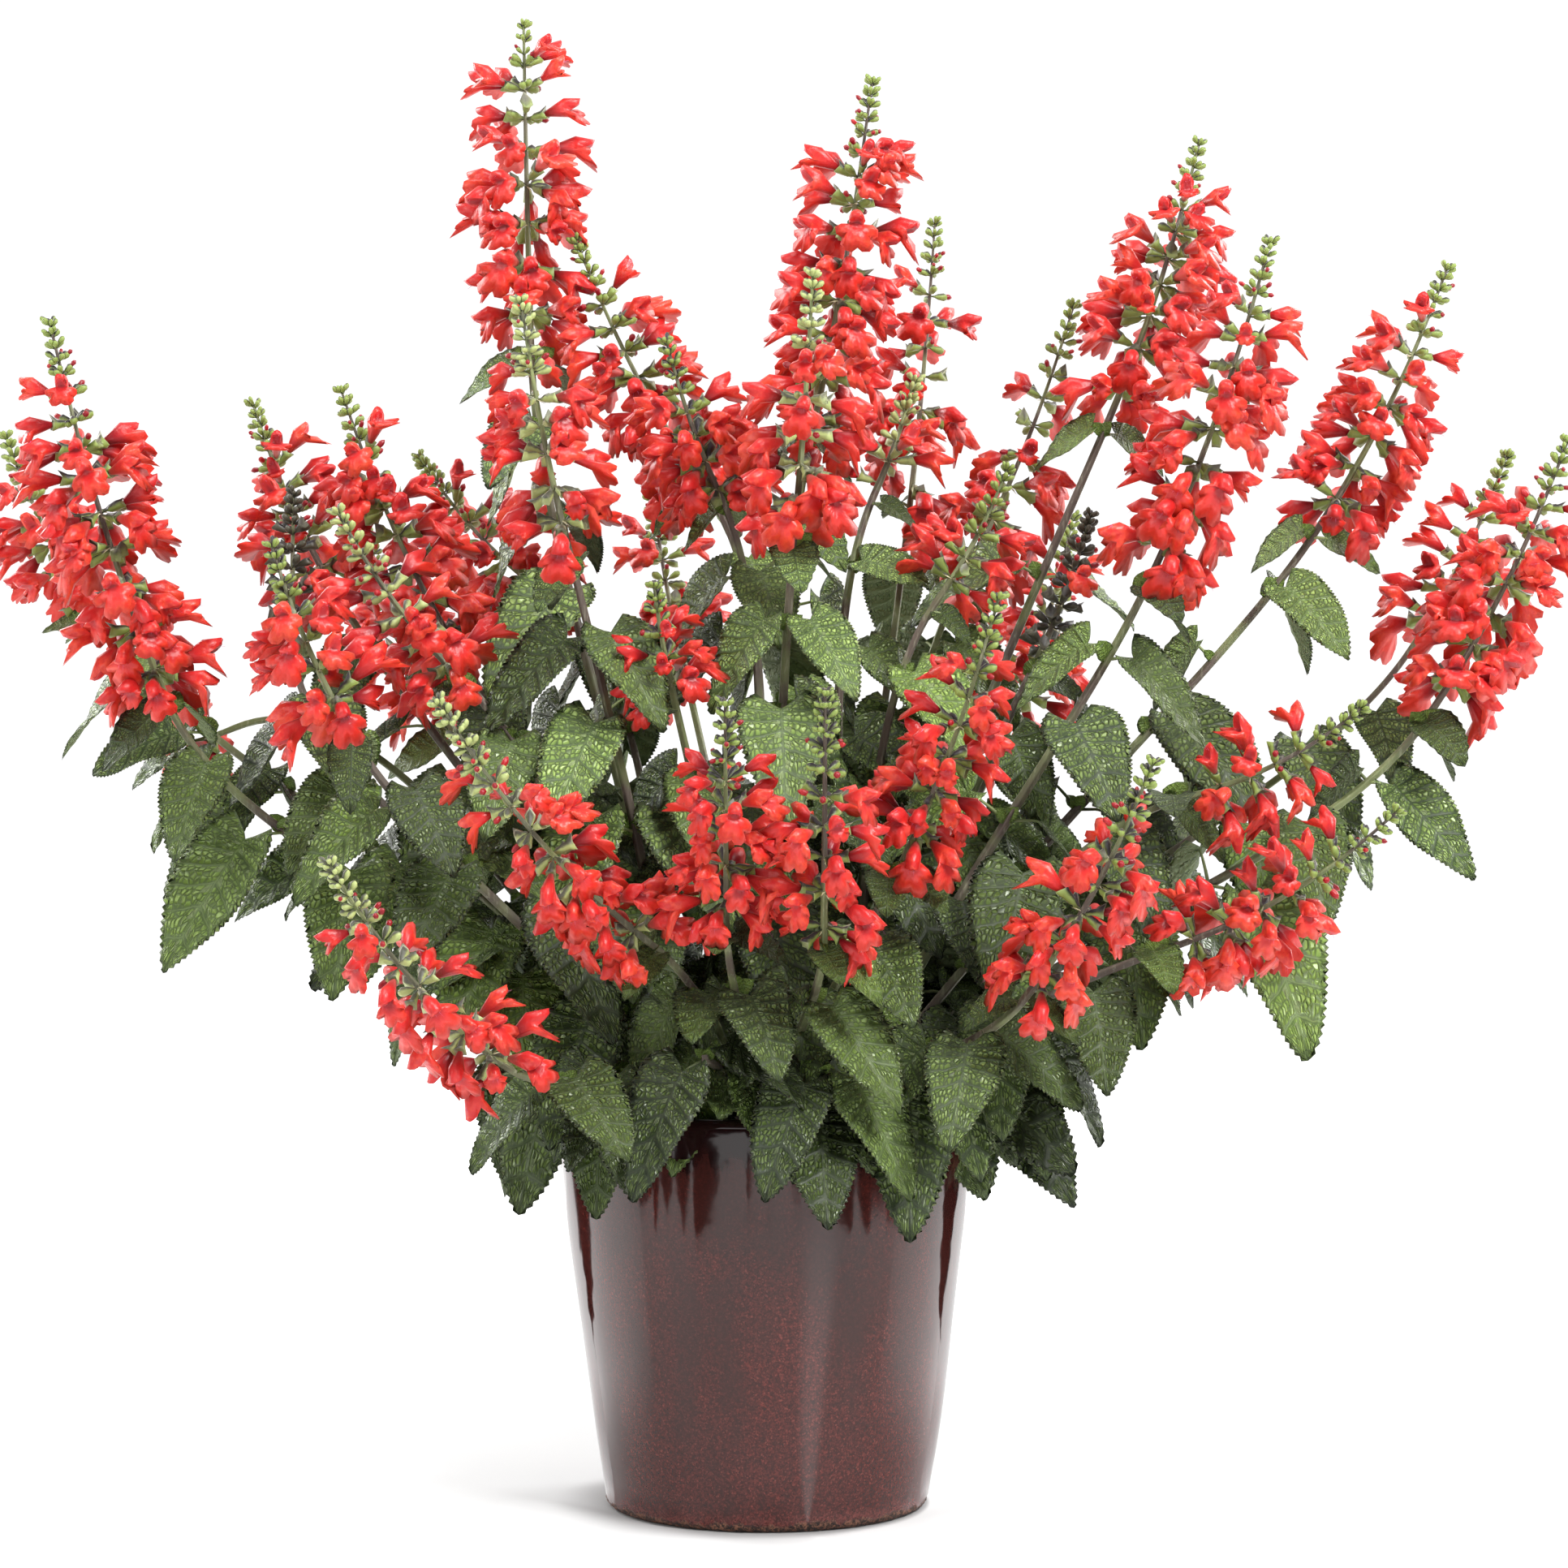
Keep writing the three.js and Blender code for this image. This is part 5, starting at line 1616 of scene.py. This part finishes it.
# The white cards dim towards the back and the foot. The side cards fade out towards the front and
# the foot, and the band towards both its edges and both its ends.
def cardPaint(name, least, most):
    paint = Paint(name)
    x, y = paint.split(paint.place())[:2]
    aside = paint.math("ABSOLUTE", x)
    away = paint.away()
    share = shown = 1.0
    if name == "side card":
        shown = paint.ramp(y / aside, -0.6, -0.05) * paint.ramp(away, 0.14, 0.36)
    if name == "band card":
        across = (x - 0.024) / (-0.09 - y)
        shown = paint.ramp(across, 0.26, 0.52) * paint.ramp(across, 0.96, 0.64)
        shown = shown * paint.ramp(away, 0.62, 0.40)
    if name == "white card":
        share = paint.ramp((aside - 0.09) / paint.math("MAXIMUM", y, 0.01), 0.0, 1.0, False)
        share = share * (0.4 + 0.6 * paint.ramp(away, 0.2, 0.4))
    return paint.finish({
        "Base Color": (0, 0, 0, 1),
        "Roughness": 1.0,
        "Specular IOR Level": 0.0,
        "Alpha": shown,
        "Emission Color": paint.mix(share, [least] * 3, [most] * 3),
        "Emission Strength": 1.0,
    })


def makeStudio():
    world = bpy.data.worlds.new("studio")
    scene.world = world
    world.use_nodes = True
    graph = Graph(world.node_tree)
    graph.tree.nodes.clear()
    y, z = graph.split(graph.node("ShaderNodeTexCoord", None, None, "Generated"))[1:]
    behind = graph.ramp(y, -0.1, 0.45)
    level = behind * (studio["worldBack"] - studio["worldFront"])
    level = level + graph.ramp(z, 0.3, 0.8) * (1 - behind) * studio["worldTop"]
    level = level + studio["worldFront"]
    seen = graph.node("ShaderNodeLightPath", None, None, "Is Camera Ray")
    level = level + seen * (studio["worldBack"] - level)
    glow = graph.node("ShaderNodeBackground", None, {"Color": (1, 1, 1, 1), "Strength": level})
    graph.node("ShaderNodeOutputWorld", None, {"Surface": glow})

    half = studio["floorSize"] / 2
    floor = bpy.data.meshes.new("floor")
    corners = [(-half, -half, 0), (half, -half, 0), (half, half, 0), (-half, half, 0)]
    floor.from_pydata(corners, [], [(0, 1, 2, 3)])
    paint = Paint("pale floor")
    away = paint.away()
    glowing = paint.mix(paint.ramp(away, 0.25, 0.9), [studio["floorGlow"]] * 3, [studio["farGlow"]] * 3)
    # A soft shade round the foot, widest on the left
    x = paint.split(paint.place())[0]
    shade = paint.ramp((away - 0.088) / (0.019 - x / away * 0.016), 1.0, 0.0)
    floor.materials.append(paint.finish({
        "Base Color": paint.mix(shade * 0.6, (0.68, 0.68, 0.68), (0.12, 0.11, 0.11)),
        "Roughness": 0.6,
        "Emission Color": glowing,
        "Emission Strength": 1.0,
    }))
    ground = addObject("floor", floor)

    for name, place, aim, wide, tall, power in lamps:
        light = bpy.data.lights.new(name, "AREA")
        light.shape = "RECTANGLE"
        light.size, light.size_y = wide, tall
        light.energy = power
        lamp = addObject(name, light)
        lamp.location = place
        lamp.rotation_euler = (Vector(aim) - Vector(place)).to_track_quat("-Z", "Y").to_euler()

    draws = np.random.default_rng(studio["cardSeed"])
    shares = np.arange(studio["cardSteps"])[:, None] / studio["cardSteps"]
    for name, (least, most, height, ragged, hands, corners) in cards.items():
        look = cardPaint(name, least, most)
        around = np.array([*corners, corners[0]])
        for hand in hands:
            edge = np.concatenate([a + (b - a) * shares for a, b in zip(around, around[1:])])
            edge = edge + draws.normal(0, 1, edge.shape) * ragged
            card = bpy.data.meshes.new(name)
            card.from_pydata([(hand * x, y, height) for x, y in edge], [], [list(range(len(edge)))])
            card.materials.append(look)
            panel = addObject(name, card)
            for sight in ("camera", "diffuse", "shadow"):
                setattr(panel, f"visible_{sight}", False)

    lens = bpy.data.cameras.new("camera")
    lens.lens = studio["lens"]
    lens.sensor_width = studio["sensor"]
    camera = addObject("camera", lens)
    camera.location = studio["camera"]
    camera.rotation_euler = (math.pi / 2, 0, 0)
    scene.camera = camera
    scene.view_settings.view_transform = "Standard"


makePot()
print("pot made")
makeSoil()
print("soil made")
stemPaints = {name: stemPaint(name) for name in stemColours}
makeLeafyStems(stemPaints, leafPaint())
print("leafy stems made")
print("raceme triangles:", makeRacemes(stemPaints))
makeStudio()
print("studio made")
